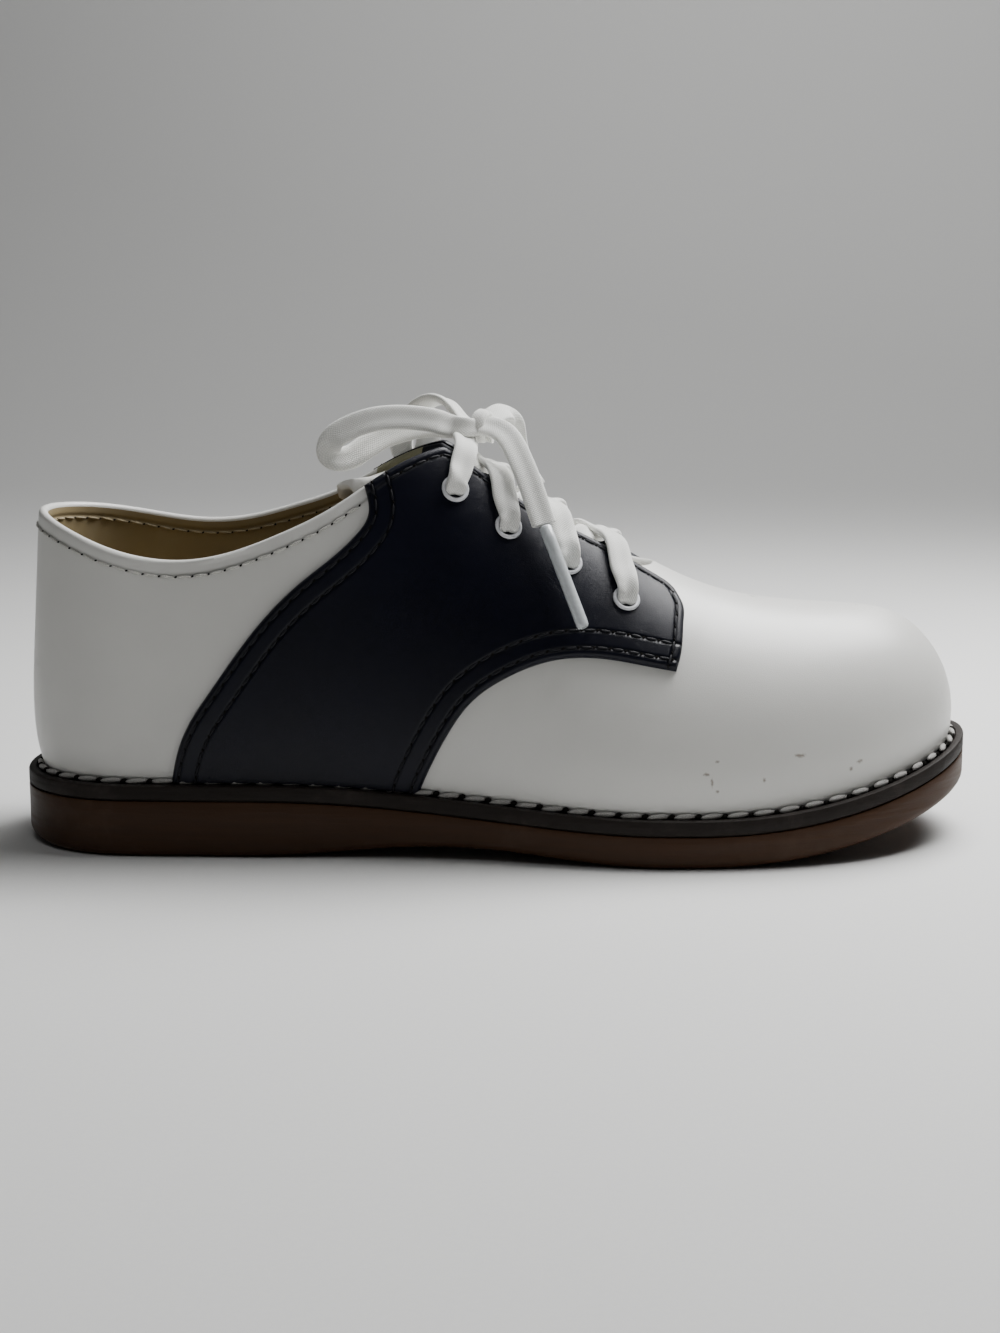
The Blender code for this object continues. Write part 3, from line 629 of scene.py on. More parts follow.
    def point(self, share: Any, side: Side, angle: Any, height: Any = 0.0) -> np.ndarray:
        """A point at a height over the upper's outer surface, measured square to it."""
        lift = np.asarray(height, float)[..., None]
        return self.surface(share, side, angle) + self.normal(share, side, angle) * lift

    def edge_angle(self, share: Any, side: Side) -> np.ndarray:
        """The angle at which the upper ends: at its collar, its facing or the closed ridge.

        Args:
            share: Shares of the shoe's length.
            side: The shoe's side.

        Returns:
            The angles.
        """
        share = np.asarray(share, float)
        shut = np.sqrt(1 - ramp(share, self.throat_round, self.throat_end) ** 2)
        half_gap = np.where(share < FACING_GAP[0].along, -1, self.lines["gap"](share) * shut)
        low = np.zeros_like(share)
        high = np.full_like(share, RIGHT_ANGLE)
        for _ in range(40):
            angle = (low + high) / 2
            point = self.surface(share, side, angle)
            from_ridge = np.abs(point[..., 1] - self.lines["centre"](self.share_of(point[..., 0])))
            in_collar = point[..., 2] >= self.lines[f"top_{side.value}"](share)
            past = in_collar | (from_ridge <= half_gap)
            high = np.where(past, angle, high)
            low = np.where(past, low, angle)
        return high

    def angle_at_height(self, share: float, side: Side, height: float) -> float:
        """The angle at which a section of the upper reaches a height.

        Args:
            share: Shares of the shoe's length.
            side: The shoe's side.
            height: The height to reach.

        Returns:
            The angle.
        """
        low, high = 0.0, RIGHT_ANGLE
        for _ in range(40):
            angle = (low + high) / 2
            if self.surface(share, side, angle)[2] < height:
                low = angle
            else:
                high = angle
        return angle

    def inside_height(self, x: np.ndarray, y: np.ndarray, depth: float) -> np.ndarray:
        """Height of the last at a plan position, its section shrunk all round by depth.

        Args:
            x: Places along the X axis.
            y: Places along the Y axis.
            depth: How far below the outer face.

        Returns:
            The heights.
        """
        share = self.share_of(x)
        half = self.lines["half_width"](share) - self.welt_margin - depth
        out = np.clip(np.abs(y - self.lines["centre"](share)) / half, 0, 1)
        power = self.lines["power"](share)
        lift = (1 - out**power) ** (1 / power)
        seat = self.seat_at(x)
        return seat + (self.lines["roof"](share) - depth - seat) * lift

    def tongue(self, along: Any, across: Any, depth: float, room: float) -> np.ndarray:
        """Points of the tongue.

        Args:
            along: Shares of the shoe's length.
            across: Places across the tongue, from -1 to 1.
            depth: How far below the tongue's outer face.
            room: How far the outer face stays below the facings' lining.

        Returns:
            The points.
        """
        along, across = np.broadcast_arrays(along, across)
        x = (along - 0.5) * self.length
        middle = self.lines["centre"](along) + self.lines["tongue_shift"](along)
        y = middle + self.lines["tongue_half_width"](along) * across
        under_facing = self.inside_height(x, y, self.upper_wall + room + depth)
        curl = np.where(across < 0, across**2, 0.15 * across**2)
        free = self.lines["tongue_height"](along) + self.lines["tongue_curl"](along) * curl
        free = free - depth
        spread = np.hypot(under_facing - free, 0.0025)
        return np.stack([x, y, (under_facing + free - spread) / 2], axis=-1)

    def eyelet(self, eyelet: Eyelet, side: Side) -> tuple[np.ndarray, np.ndarray, np.ndarray]:
        """Centre of an eyelet on the upper, the way that it faces and the way up to the edge.

        Args:
            eyelet: The eyelet's place.
            side: The shoe's side.

        Returns:
            The centre and the two directions.
        """
        angle = self.angle_at_height(eyelet.along, side, eyelet.height * self.instep_height)
        centre = self.surface(eyelet.along, side, angle)
        upward = unit(self.surface(eyelet.along, side, angle + 0.01) - centre)
        return centre, self.normal(eyelet.along, side, angle), upward


LAST = Last()


class NodeDesk:
    """Adds and joins the nodes of one shader or geometry tree."""

    def __init__(self, tree: bpy.types.NodeTree) -> None:
        """Keeps the tree that the nodes go to."""
        self.tree = tree

    def add(self, kind: str, inputs: dict[Any, Any] | None = None, **settings: Any) -> Any:
        """Adds a node.

        Args:
            kind: The node's type.
            inputs: A value or a socket to link for each input, by name or number.
            settings: The node's own properties.

        Returns:
            The node.
        """
        node = self.tree.nodes.new(kind)
        for name, value in settings.items():
            setattr(node, name, value)
        self.feed(node, inputs or {})
        return node

    def feed(self, node: Any, inputs: dict[Any, Any]) -> None:
        """Gives a node its inputs.

        Args:
            node: The node.
            inputs: A value or a socket to link for each input, by name or number.
        """
        for key, value in inputs.items():
            if isinstance(value, bpy.types.NodeSocket):
                self.tree.links.new(value, node.inputs[key])
            else:
                node.inputs[key].default_value = value

    def math(self, operation: str, *values: Any) -> Any:
        """A maths node's result for up to three values or sockets."""
        node = self.add("ShaderNodeMath", dict(enumerate(values)), operation=operation)
        return node.outputs[0]

    def vector(self, operation: str, first: Any, second: Any) -> Any:
        """A vector maths node's result for two values or sockets."""
        return self.add("ShaderNodeVectorMath", {0: first, 1: second}, operation=operation).outputs[0]

    def span(self, value: Any, start: float, end: float, low: float = 0.0, high: float = 1.0) -> Any:
        """A value brought smoothly from start..end to low..high.

        Args:
            value: The value.
            start: Where the value starts.
            end: Where it ends.
            low: The result at the start.
            high: The result at the end.

        Returns:
            The result's socket.
        """
        inputs = {"Value": value, "From Min": start, "From Max": end, "To Min": low, "To Max": high}
        node = self.add("ShaderNodeMapRange", inputs, interpolation_type="SMOOTHSTEP")
        return node.outputs["Result"]

    def blend(self, share: Any, first: Any, second: Any) -> Any:
        """A colour between two, by a share."""
        return self.add("ShaderNodeMix", {0: share, 6: first, 7: second}, data_type="RGBA").outputs[2]

    def noise(self, vector: Any, scale: float, detail: float = 3.0, rough: float = 0.5) -> Any:
        """A noise value between 0 and 1."""
        inputs = {"Vector": vector, "Scale": scale, "Detail": detail, "Roughness": rough}
        return self.add("ShaderNodeTexNoise", inputs).outputs["Fac"]

    def attribute(self, name: str) -> Any:
        """A value stored on the mesh's points."""
        return self.add("ShaderNodeAttribute", attribute_name=name).outputs["Fac"]

    def mask(self, effect: bpy.types.NodeTree, inputs: dict[str, Any]) -> Any:
        """The mask that a shared effect puts out."""
        return self.add("ShaderNodeGroup", inputs, node_tree=effect).outputs["Mask"]

    def combined(self, **parts: Any) -> Any:
        """A vector of its X, Y and Z."""
        return self.add("ShaderNodeCombineXYZ", parts).outputs["Vector"]

    def lie(self) -> Any:
        """The way that each mark of a guide faces."""
        node = self.add("GeometryNodeInputNamedAttribute", {"Name": "lie"}, data_type="FLOAT_VECTOR")
        return node.outputs["Attribute"]

    def copies(self, points: Any, instance: Any, rotation: Any) -> Any:
        """Instances of a geometry on points, each turned its own way."""
        inputs = {"Points": points, "Instance": instance, "Rotation": rotation}
        return self.add("GeometryNodeInstanceOnPoints", inputs).outputs["Instances"]

    def dressed(self, instances: Any, material: Any) -> Any:
        """Instances made real, with their material.

        Args:
            instances: The instances.
            material: Their material.

        Returns:
            The geometry's socket.
        """
        real = self.add("GeometryNodeRealizeInstances", {"Geometry": instances}).outputs["Geometry"]
        inputs = {"Geometry": real, "Material": material}
        return self.add("GeometryNodeSetMaterial", inputs).outputs["Geometry"]


def shader_group(
    name: str, inputs: Sequence[tuple[str, str, float]], outputs: Sequence[str]
) -> tuple[bpy.types.NodeTree, NodeDesk, Any, Any]:
    """Starts a shader node group.

    Args:
        name: The group's name.
        inputs: Name, socket type and default of each input.
        outputs: The names of the values that it puts out.

    Returns:
        The tree, its desk, its input node and its output node.
    """
    tree = bpy.data.node_groups.new(name, "ShaderNodeTree")
    for label, kind, default in inputs:
        socket = tree.interface.new_socket(label, in_out="INPUT", socket_type=kind)
        if kind == "NodeSocketFloat":
            socket.default_value = default
    for label in outputs:
        tree.interface.new_socket(label, in_out="OUTPUT", socket_type="NodeSocketFloat")
    desk = NodeDesk(tree)
    return tree, desk, desk.add("NodeGroupInput"), desk.add("NodeGroupOutput")


class Effects:
    """The effects that several finishes share, each one a node group built once."""

    def __init__(self) -> None:
        """Builds the groups."""
        self.grain = self._grain()
        self.seam = self._seam()
        self.dust = self._dust()
        self.scuff = self._scuff()

    @staticmethod
    def _grain() -> bpy.types.NodeTree:
        """Leather grain: small rounded cells with creases between them, and open pores.

        Returns:
            The group.
        """
        inputs = (("Vector", "NodeSocketVector", 0.0), ("Cells", "NodeSocketFloat", 2000.0))
        tree, desk, given, put = shader_group("leather_grain", inputs, ("Height", "Tone"))
        place, cells = given.outputs["Vector"], given.outputs["Cells"]
        bend = desk.add("ShaderNodeTexNoise", {"Vector": place, "Scale": 300.0, "Detail": 2.0})
        bent = desk.vector("ADD", place, desk.vector("MULTIPLY", bend.outputs["Color"], (0.0012,) * 3))
        cell = desk.add("ShaderNodeTexVoronoi", {"Vector": bent, "Scale": cells}, feature="DISTANCE_TO_EDGE")
        crease = desk.span(cell.outputs["Distance"], 0.0, 0.16)
        fine = desk.add("ShaderNodeTexNoise", {"Vector": place, "Scale": cells, "Detail": 4.0})
        height = desk.math("MULTIPLY_ADD", fine.outputs["Fac"], 0.5, crease)
        wide = desk.noise(place, 28.0, 3.0)
        desk.feed(put, {"Height": height, "Tone": wide})
        return tree

    @staticmethod
    def _seam() -> bpy.types.NodeTree:
        """A pressed line beside an edge, for its dent and its painted shade: 1 on the line, 0 away from it.

        Returns:
            The group.
        """
        inputs = (
            ("Distance", "NodeSocketFloat", 0.0),
            ("Inset", "NodeSocketFloat", 0.002),
            ("Width", "NodeSocketFloat", 0.0005),
        )
        tree, desk, given, put = shader_group("seam_line", inputs, ("Mask",))
        off = desk.math("SUBTRACT", given.outputs["Distance"], given.outputs["Inset"])
        ratio = desk.math("DIVIDE", off, given.outputs["Width"])
        fall = desk.math("EXPONENT", desk.math("MULTIPLY", desk.math("MULTIPLY", ratio, ratio), -1.0))
        desk.feed(put, {"Mask": fall})
        return tree

    @staticmethod
    def _dust() -> bpy.types.NodeTree:
        """Faint dust and handling marks in broken patches.

        Returns:
            The group.
        """
        inputs = (("Vector", "NodeSocketVector", 0.0), ("Amount", "NodeSocketFloat", 0.5))
        tree, desk, given, put = shader_group("dust", inputs, ("Mask",))
        broad = desk.noise(given.outputs["Vector"], 45.0, 5.0, 0.65)
        specks = desk.noise(given.outputs["Vector"], 1400.0, 2.0)
        patch = desk.span(broad, 0.50, 0.78)
        dots = desk.span(specks, 0.66, 0.76)
        both = desk.math("MAXIMUM", desk.math("MULTIPLY", patch, 0.6), desk.math("MULTIPLY", dots, patch))
        desk.feed(put, {"Mask": desk.math("MULTIPLY", both, given.outputs["Amount"])})
        return tree

    @staticmethod
    def _scuff() -> bpy.types.NodeTree:
        """A small rubbed mark with a ragged edge around one place.

        Returns:
            The group.
        """
        inputs = (
            ("Vector", "NodeSocketVector", 0.0),
            ("Place", "NodeSocketVector", 0.0),
            ("Stretch", "NodeSocketVector", 0.0),
            ("Radius", "NodeSocketFloat", 0.001),
        )
        tree, desk, given, put = shader_group("scuff_mark", inputs, ("Mask",))
        away = desk.vector("SUBTRACT", given.outputs["Vector"], given.outputs["Place"])
        shaped = desk.vector("MULTIPLY", away, given.outputs["Stretch"])
        length = desk.add("ShaderNodeVectorMath", {0: shaped}, operation="LENGTH").outputs["Value"]
        share = desk.math("DIVIDE", length, given.outputs["Radius"])
        ragged = desk.noise(given.outputs["Vector"], 1100.0, 3.0, 0.7)
        edge = desk.math("ADD", share, desk.math("MULTIPLY", ragged, 1.5))
        desk.feed(put, {"Mask": desk.span(edge, 1.55, 0.85)})
        return tree


@dataclass(frozen=True)
class Finish:
    """A surface finish: the plain values of its Principled shader."""

    name: str
    colour: Vector3
    roughness: float
    coat: float = 0.0
    coat_roughness: float = 0.2
    sheen: float = 0.0
    specular: float = 0.5
    transmission: float = 0.0

    def build(self, effects: Effects) -> bpy.types.Material:
        """Makes the material: its plain values, then the surface of its kind.

        Args:
            effects: The shared node groups.

        Returns:
            The material.
        """
        material = bpy.data.materials.new(self.name)
        material.use_nodes = True
        material.diffuse_color = (*self.colour, 1.0)
        desk = NodeDesk(material.node_tree)
        shader = material.node_tree.nodes["Principled BSDF"]
        values = {
            "Base Color": (*self.colour, 1.0),
            "Roughness": self.roughness,
            "Coat Weight": self.coat,
            "Coat Roughness": self.coat_roughness,
            "Sheen Weight": self.sheen,
            "Specular IOR Level": self.specular,
            "Transmission Weight": self.transmission,
        }
        desk.feed(shader, values)
        place = desk.add("ShaderNodeTexCoord").outputs["Object"]
        colour, rough, height = self.surface(desk, effects, place)
        inputs = {"Height": height, "Strength": 1.0, "Distance": 1.0}
        normal = desk.add("ShaderNodeBump", inputs).outputs["Normal"]
        desk.feed(shader, {"Base Color": colour, "Roughness": rough, "Normal": normal})
        return material

    def tint(self, factor: float) -> tuple[float, float, float, float]:
        """The finish's colour made darker or lighter."""
        return (*(min(channel * factor, 1.0) for channel in self.colour), 1.0)

    def surface(self, desk: NodeDesk, effects: Effects, place: Any) -> tuple[Any, Any, Any]:
        """Adds the nodes of this kind of finish.

        Args:
            desk: The material's desk.
            effects: The shared node groups.
            place: The place on the object.

        Returns:
            The colour, the roughness and the height in metres.
        """
        raise NotImplementedError


@dataclass(frozen=True)
class Leather(Finish):
    """Smooth or grained leather with pressed seams darkened by painted shade, dust and scuffs."""

    cells: float = 2600.0
    grain_depth: float = 0.00003
    seams: tuple[tuple[str, float, float], ...] = ()
    # How dark the painted shade along each seam line is
    seam_painted_shade: float = 0.7
    seam_depth: float = 0.00022
    tone_range: tuple[float, float] = (0.96, 1.03)
    dust: float = 0.3
    dust_colour: Vector3 = (0.55, 0.53, 0.50)
    scuffs: tuple[tuple[Vector3, Vector3, float], ...] = ()
    scuff_colour: Vector3 = (0.20, 0.16, 0.12)
    scuff_depth: float = 0.00006

    def surface(self, desk: NodeDesk, effects: Effects, place: Any) -> tuple[Any, Any, Any]:
        """Grain in broad tones, with seams (a dent and painted shade), dust and scuffs over it.

        Args:
            desk: The material's desk.
            effects: The shared node groups.
            place: The place on the object.

        Returns:
            The colour, the roughness and the height in metres.
        """
        grain = desk.add("ShaderNodeGroup", {"Vector": place, "Cells": self.cells}, node_tree=effects.grain)
        tone = desk.span(grain.outputs["Tone"], 0.3, 0.7)
        colour = desk.blend(tone, self.tint(self.tone_range[0]), self.tint(self.tone_range[1]))
        height = desk.math("MULTIPLY", grain.outputs["Height"], self.grain_depth)
        rough = desk.math("MULTIPLY_ADD", tone, 0.06, self.roughness - 0.03)
        for attribute, inset, width in self.seams:
            inputs = {"Distance": desk.attribute(attribute), "Inset": inset, "Width": width}
            mask = desk.mask(effects.seam, inputs)
            # Painted shade: the colour is darkened along each seam line, for the shadow in its groove and
            # under its thread
            colour = desk.blend(desk.math("MULTIPLY", mask, 1 - self.seam_painted_shade), colour, self.tint(0.25))
            height = desk.math("MULTIPLY_ADD", mask, -self.seam_depth, height)
        dust = desk.mask(effects.dust, {"Vector": place, "Amount": self.dust})
        colour = desk.blend(dust, colour, (*self.dust_colour, 1.0))
        rough = desk.math("MULTIPLY_ADD", dust, 0.25, rough)
        for centre, stretch, radius in self.scuffs:
            inputs = {"Vector": place, "Place": centre, "Stretch": stretch, "Radius": radius}
            mask = desk.mask(effects.scuff, inputs)
            colour = desk.blend(desk.math("MULTIPLY", mask, 0.8), colour, (*self.scuff_colour, 1.0))
            height = desk.math("MULTIPLY_ADD", mask, -self.scuff_depth, height)
        return colour, rough, height


@dataclass(frozen=True)
class Rubber(Finish):
    """Moulded rubber or pressed fibre with fine pits, rubbed streaks and dust."""

    streaks: float = 0.25
    pits: float = 0.00003
    dust: float = 0.5
    dust_colour: Vector3 = (0.30, 0.25, 0.21)
    tread: float = 0.0
    tread_pitch: float = 0.003

    def surface(self, desk: NodeDesk, effects: Effects, place: Any) -> tuple[Any, Any, Any]:
        """Pits and streaks, with dust and a tread over them.

        Args:
            desk: The material's desk.
            effects: The shared node groups.
            place: The place on the object.

        Returns:
            The colour, the roughness and the height in metres.
        """
        flat = desk.vector("MULTIPLY", place, (60.0, 60.0, 900.0))
        streak = desk.span(desk.noise(flat, 1.0, 4.0, 0.6), 0.35, 0.75)
        tone = desk.math("MULTIPLY", streak, self.streaks)
        colour = desk.blend(tone, self.tint(0.85), self.tint(1.5))
        dust = desk.mask(effects.dust, {"Vector": place, "Amount": self.dust})
        colour = desk.blend(dust, colour, (*self.dust_colour, 1.0))
        rough = desk.math("MULTIPLY_ADD", streak, 0.12, self.roughness - 0.05)
        height = desk.math("MULTIPLY", desk.noise(place, 2200.0, 4.0), self.pits)
        height = desk.math("MULTIPLY_ADD", streak, self.pits, height)
        if self.tread:
            height = self._tread(desk, place, height)
        return colour, rough, height

    def _tread(self, desk: NodeDesk, place: Any, height: Any) -> Any:
        """Adds fine cross ribs to the underside alone.

        Args:
            desk: The material's desk.
            place: The place on the object.
            height: The height so far.

        Returns:
            The height with its ribs.
        """
        along = desk.add("ShaderNodeSeparateXYZ", {"Vector": place}).outputs["X"]
        wave = desk.math("SINE", desk.math("MULTIPLY", along, 2 * math.pi / self.tread_pitch))
        facing = desk.add("ShaderNodeNewGeometry").outputs["Normal"]
        down = desk.add("ShaderNodeSeparateXYZ", {"Vector": facing}).outputs["Z"]
        below = desk.span(down, -0.9, -0.98)
        ribs = desk.math("MULTIPLY", desk.span(wave, -0.3, 0.5), below)
        return desk.math("MULTIPLY_ADD", ribs, self.tread, height)


@dataclass(frozen=True)
class Woven(Finish):
    """Woven cotton whose threads follow the piece's own UV map, in metres."""

    thread: float = 0.00056
    depth: float = 0.00006
    fuzz: float = 0.00008

    def surface(self, desk: NodeDesk, effects: Effects, place: Any) -> tuple[Any, Any, Any]:
        """Two crossing sets of threads with loose fibres.

        Args:
            desk: The material's desk.
            effects: The shared node groups.
            place: The place on the object.

        Returns:
            The colour, the roughness and the height in metres.
        """
        uv = desk.add("ShaderNodeUVMap", uv_map="weave").outputs["UV"]
        split = desk.add("ShaderNodeSeparateXYZ", {"Vector": uv})
        wander = desk.math("MULTIPLY_ADD", desk.noise(place, 500.0, 2.0), 0.5, -0.25)
        along = desk.math("DIVIDE", split.outputs["X"], self.thread)
        across = desk.math("DIVIDE", split.outputs["Y"], self.thread * 1.25)
        first = desk.math("ADD", desk.math("ADD", along, across), wander)
        second = desk.math("ADD", desk.math("SUBTRACT", along, across), wander)
        lobes = [
            desk.math("ABSOLUTE", desk.math("SINE", desk.math("MULTIPLY", turn, math.pi)))
            for turn in (first, second)
        ]
        weave = desk.math("POWER", desk.math("MULTIPLY", *lobes), 1.2)
        fibre = desk.noise(place, 3400.0, 4.0, 0.75)
        # Colour mixes the fibres' random tone with painted shade: darker in the weave's valleys between the
        # threads
        tone = desk.math("MULTIPLY_ADD", fibre, 0.6, desk.math("MULTIPLY", weave, 0.4))
        colour = desk.blend(desk.span(tone, 0.1, 0.85), self.tint(0.78), self.tint(1.05))
        height = desk.math("MULTIPLY", weave, self.depth)
        return colour, self.roughness, desk.math("MULTIPLY_ADD", fibre, self.fuzz, height)


@dataclass(frozen=True)
class Thread(Finish):
    """Twisted sewing thread."""

    def surface(self, desk: NodeDesk, effects: Effects, place: Any) -> tuple[Any, Any, Any]:
        """Fine fibres.

        Args:
            desk: The material's desk.
            effects: The shared node groups.
            place: The place on the object.

        Returns:
            The colour, the roughness and the height in metres.
        """
        fibre = desk.noise(place, 5200.0, 3.0, 0.7)
        colour = desk.blend(desk.span(fibre, 0.35, 0.65), self.tint(0.7), self.tint(1.15))
        return colour, self.roughness, desk.math("MULTIPLY", fibre, 0.00008)


@dataclass(frozen=True)
class Hard(Finish):
    """Enamel or clear plastic with a slightly uneven coat."""

    def surface(self, desk: NodeDesk, effects: Effects, place: Any) -> tuple[Any, Any, Any]:
        """Broad unevenness and a little dust.

        Args:
            desk: The material's desk.
            effects: The shared node groups.
            place: The place on the object.

        Returns:
            The colour, the roughness and the height in metres.
        """
        broad = desk.noise(place, 900.0, 3.0)
        colour = desk.blend(desk.span(broad, 0.35, 0.7), self.tint(0.93), self.tint(1.02))
        dust = desk.mask(effects.dust, {"Vector": place, "Amount": 0.3})
        rough = desk.math("MULTIPLY_ADD", broad, 0.15, self.roughness - 0.07)
        rough = desk.math("MULTIPLY_ADD", dust, 0.3, rough)
        return colour, rough, desk.math("MULTIPLY", broad, 0.00002)


class Seams:
    """Where the rows of stitching run, in metres from each edge."""

    COLLAR = 0.0036
    BACK = (0.0015, 0.0052)
    FRONT = (0.0020, 0.0058)
    END = 0.0022
    TOP = 0.0021
    WIDTH = 0.00045


TOE_SCUFFS = (
    ((0.0442, -0.0363, 0.0203), (1.0, 1.0, 1.6), 0.0011),
    ((0.0454, -0.0364, 0.0185), (1.6, 1.0, 0.45), 0.0008),
    ((0.0466, -0.0364, 0.0166), (1.0, 1.0, 1.2), 0.0007),
    ((0.0465, -0.0358, 0.0229), (1.0, 1.0, 1.4), 0.0007),
    ((0.0645, -0.0332, 0.0238), (0.6, 0.6, 1.8), 0.0012),
    ((0.0781, -0.0290, 0.0215), (0.8, 0.8, 1.4), 0.0011),
    ((0.0762, -0.0299, 0.0201), (1.0, 1.0, 1.0), 0.0008),
    ((0.0567, -0.0352, 0.0188), (1.0, 1.0, 1.0), 0.0007),
)

WHITE_LEATHER = Leather(
    "white_leather",
    (0.70, 0.695, 0.665),
    0.40,
    coat=0.18,
    coat_roughness=0.30,
    cells=2600.0,
    grain_depth=0.000009,
    # The seam line sits just below the collar's stitches: a painted shadow under the thread, with a dent
    seams=(("from_rim", Seams.COLLAR + 0.0003, Seams.WIDTH),),
    seam_painted_shade=0.5,
    dust=0.12,
    scuffs=TOE_SCUFFS,
)
NAVY_LEATHER = Leather(
    "navy_leather",
    (0.0011, 0.0018, 0.0080),
    0.38,
    specular=0.24,
    cells=3000.0,
    grain_depth=0.000011,
    # Each row's seam line is darkened: painted shade along the stitching, with a dent
    seams=(
        ("from_back", Seams.BACK[0], Seams.WIDTH),
        ("from_back", Seams.BACK[1], Seams.WIDTH),
        ("from_front", Seams.FRONT[0], Seams.WIDTH),
        ("from_front", Seams.FRONT[1], Seams.WIDTH),
        ("from_end", Seams.END, Seams.WIDTH),
        ("from_top", Seams.TOP, Seams.WIDTH),
    ),
    seam_painted_shade=0.4,
    tone_range=(0.8, 1.2),
    dust=0.08,
    dust_colour=(0.03, 0.03, 0.035),
)
LINING_LEATHER = Leather(
    "tan_lining",
    (0.29, 0.225, 0.115),
    0.62,
    cells=3600.0,
    grain_depth=0.000014,
    # The seam line is darkened: painted shade along the lining's stitches, with a dent
    seams=(("from_rim", Seams.COLLAR, Seams.WIDTH),),
    tone_range=(0.82, 1.08),
    dust=0.3,
    dust_colour=(0.42, 0.37, 0.27),
)
RAW_EDGE = Leather("cut_leather_edge", (0.30, 0.29, 0.19), 0.8, cells=3200.0, grain_depth=0.00008)
DYED_EDGE = Leather("dyed_leather_edge", (0.004, 0.005, 0.010), 0.6, specular=0.2, dust=0.1)
# Painted light: the tongue's white leather is made lighter than the upper's, to brighten it where it sits in
# shade
TONGUE_LEATHER_PAINTED_LIGHT = Leather(
    "tongue_leather_painted_light", (0.82, 0.815, 0.78), 0.42, coat=0.15, cells=3200.0, grain_depth=0.000012
)
SOLE_RUBBER = Rubber(
    "brown_rubber",
    (0.050, 0.022, 0.009),
    0.50,
    specular=0.2,
    streaks=0.25,
    dust=0.3,
    dust_colour=(0.16, 0.11, 0.08),
    tread=0.0005,
)
WELT_FIBRE = Rubber(
    "dark_welt", (0.016, 0.012, 0.010), 0.6, specular=0.2, pits=0.00006, dust_colour=(0.12, 0.10, 0.09)
)
COTTON = Woven("white_cotton", (0.90, 0.90, 0.86), 0.92, sheen=0.5)
NAVY_THREAD = Thread("navy_thread", (0.006, 0.0065, 0.010), 0.6, specular=0.3)
GREY_THREAD = Thread("grey_thread", (0.42, 0.41, 0.39), 0.7, sheen=0.2)
LIGHT_THREAD = Thread("light_thread", (0.62, 0.61, 0.57), 0.7)
# Dark pinholes between the stitches: painted shade standing in for the shadow inside the needle holes
PINHOLE_SHADE = Thread("pinhole_painted_shade", (0.008, 0.007, 0.006), 0.9, specular=0.1)
TAN_THREAD = Thread("tan_thread", (0.27, 0.215, 0.12), 0.7, sheen=0.1)
ENAMEL = Hard("white_enamel", (0.74, 0.75, 0.78), 0.28, coat=0.5, coat_roughness=0.15)
TIP_PLASTIC = Hard("lace_tip_plastic", (0.74, 0.78, 0.80), 0.22, coat=0.6, transmission=0.25)


class Wardrobe:
    """Builds each finish once and hands it out."""

    def __init__(self) -> None:
        """Builds the shared effects."""
        self.effects = Effects()
        self.made: dict[str, bpy.types.Material] = {}

    def get(self, finish: Finish) -> bpy.types.Material:
        """The material of a finish.

        Args:
            finish: The finish.

        Returns:
            Its material.
        """
        if finish.name not in self.made:
            self.made[finish.name] = finish.build(self.effects)
        return self.made[finish.name]


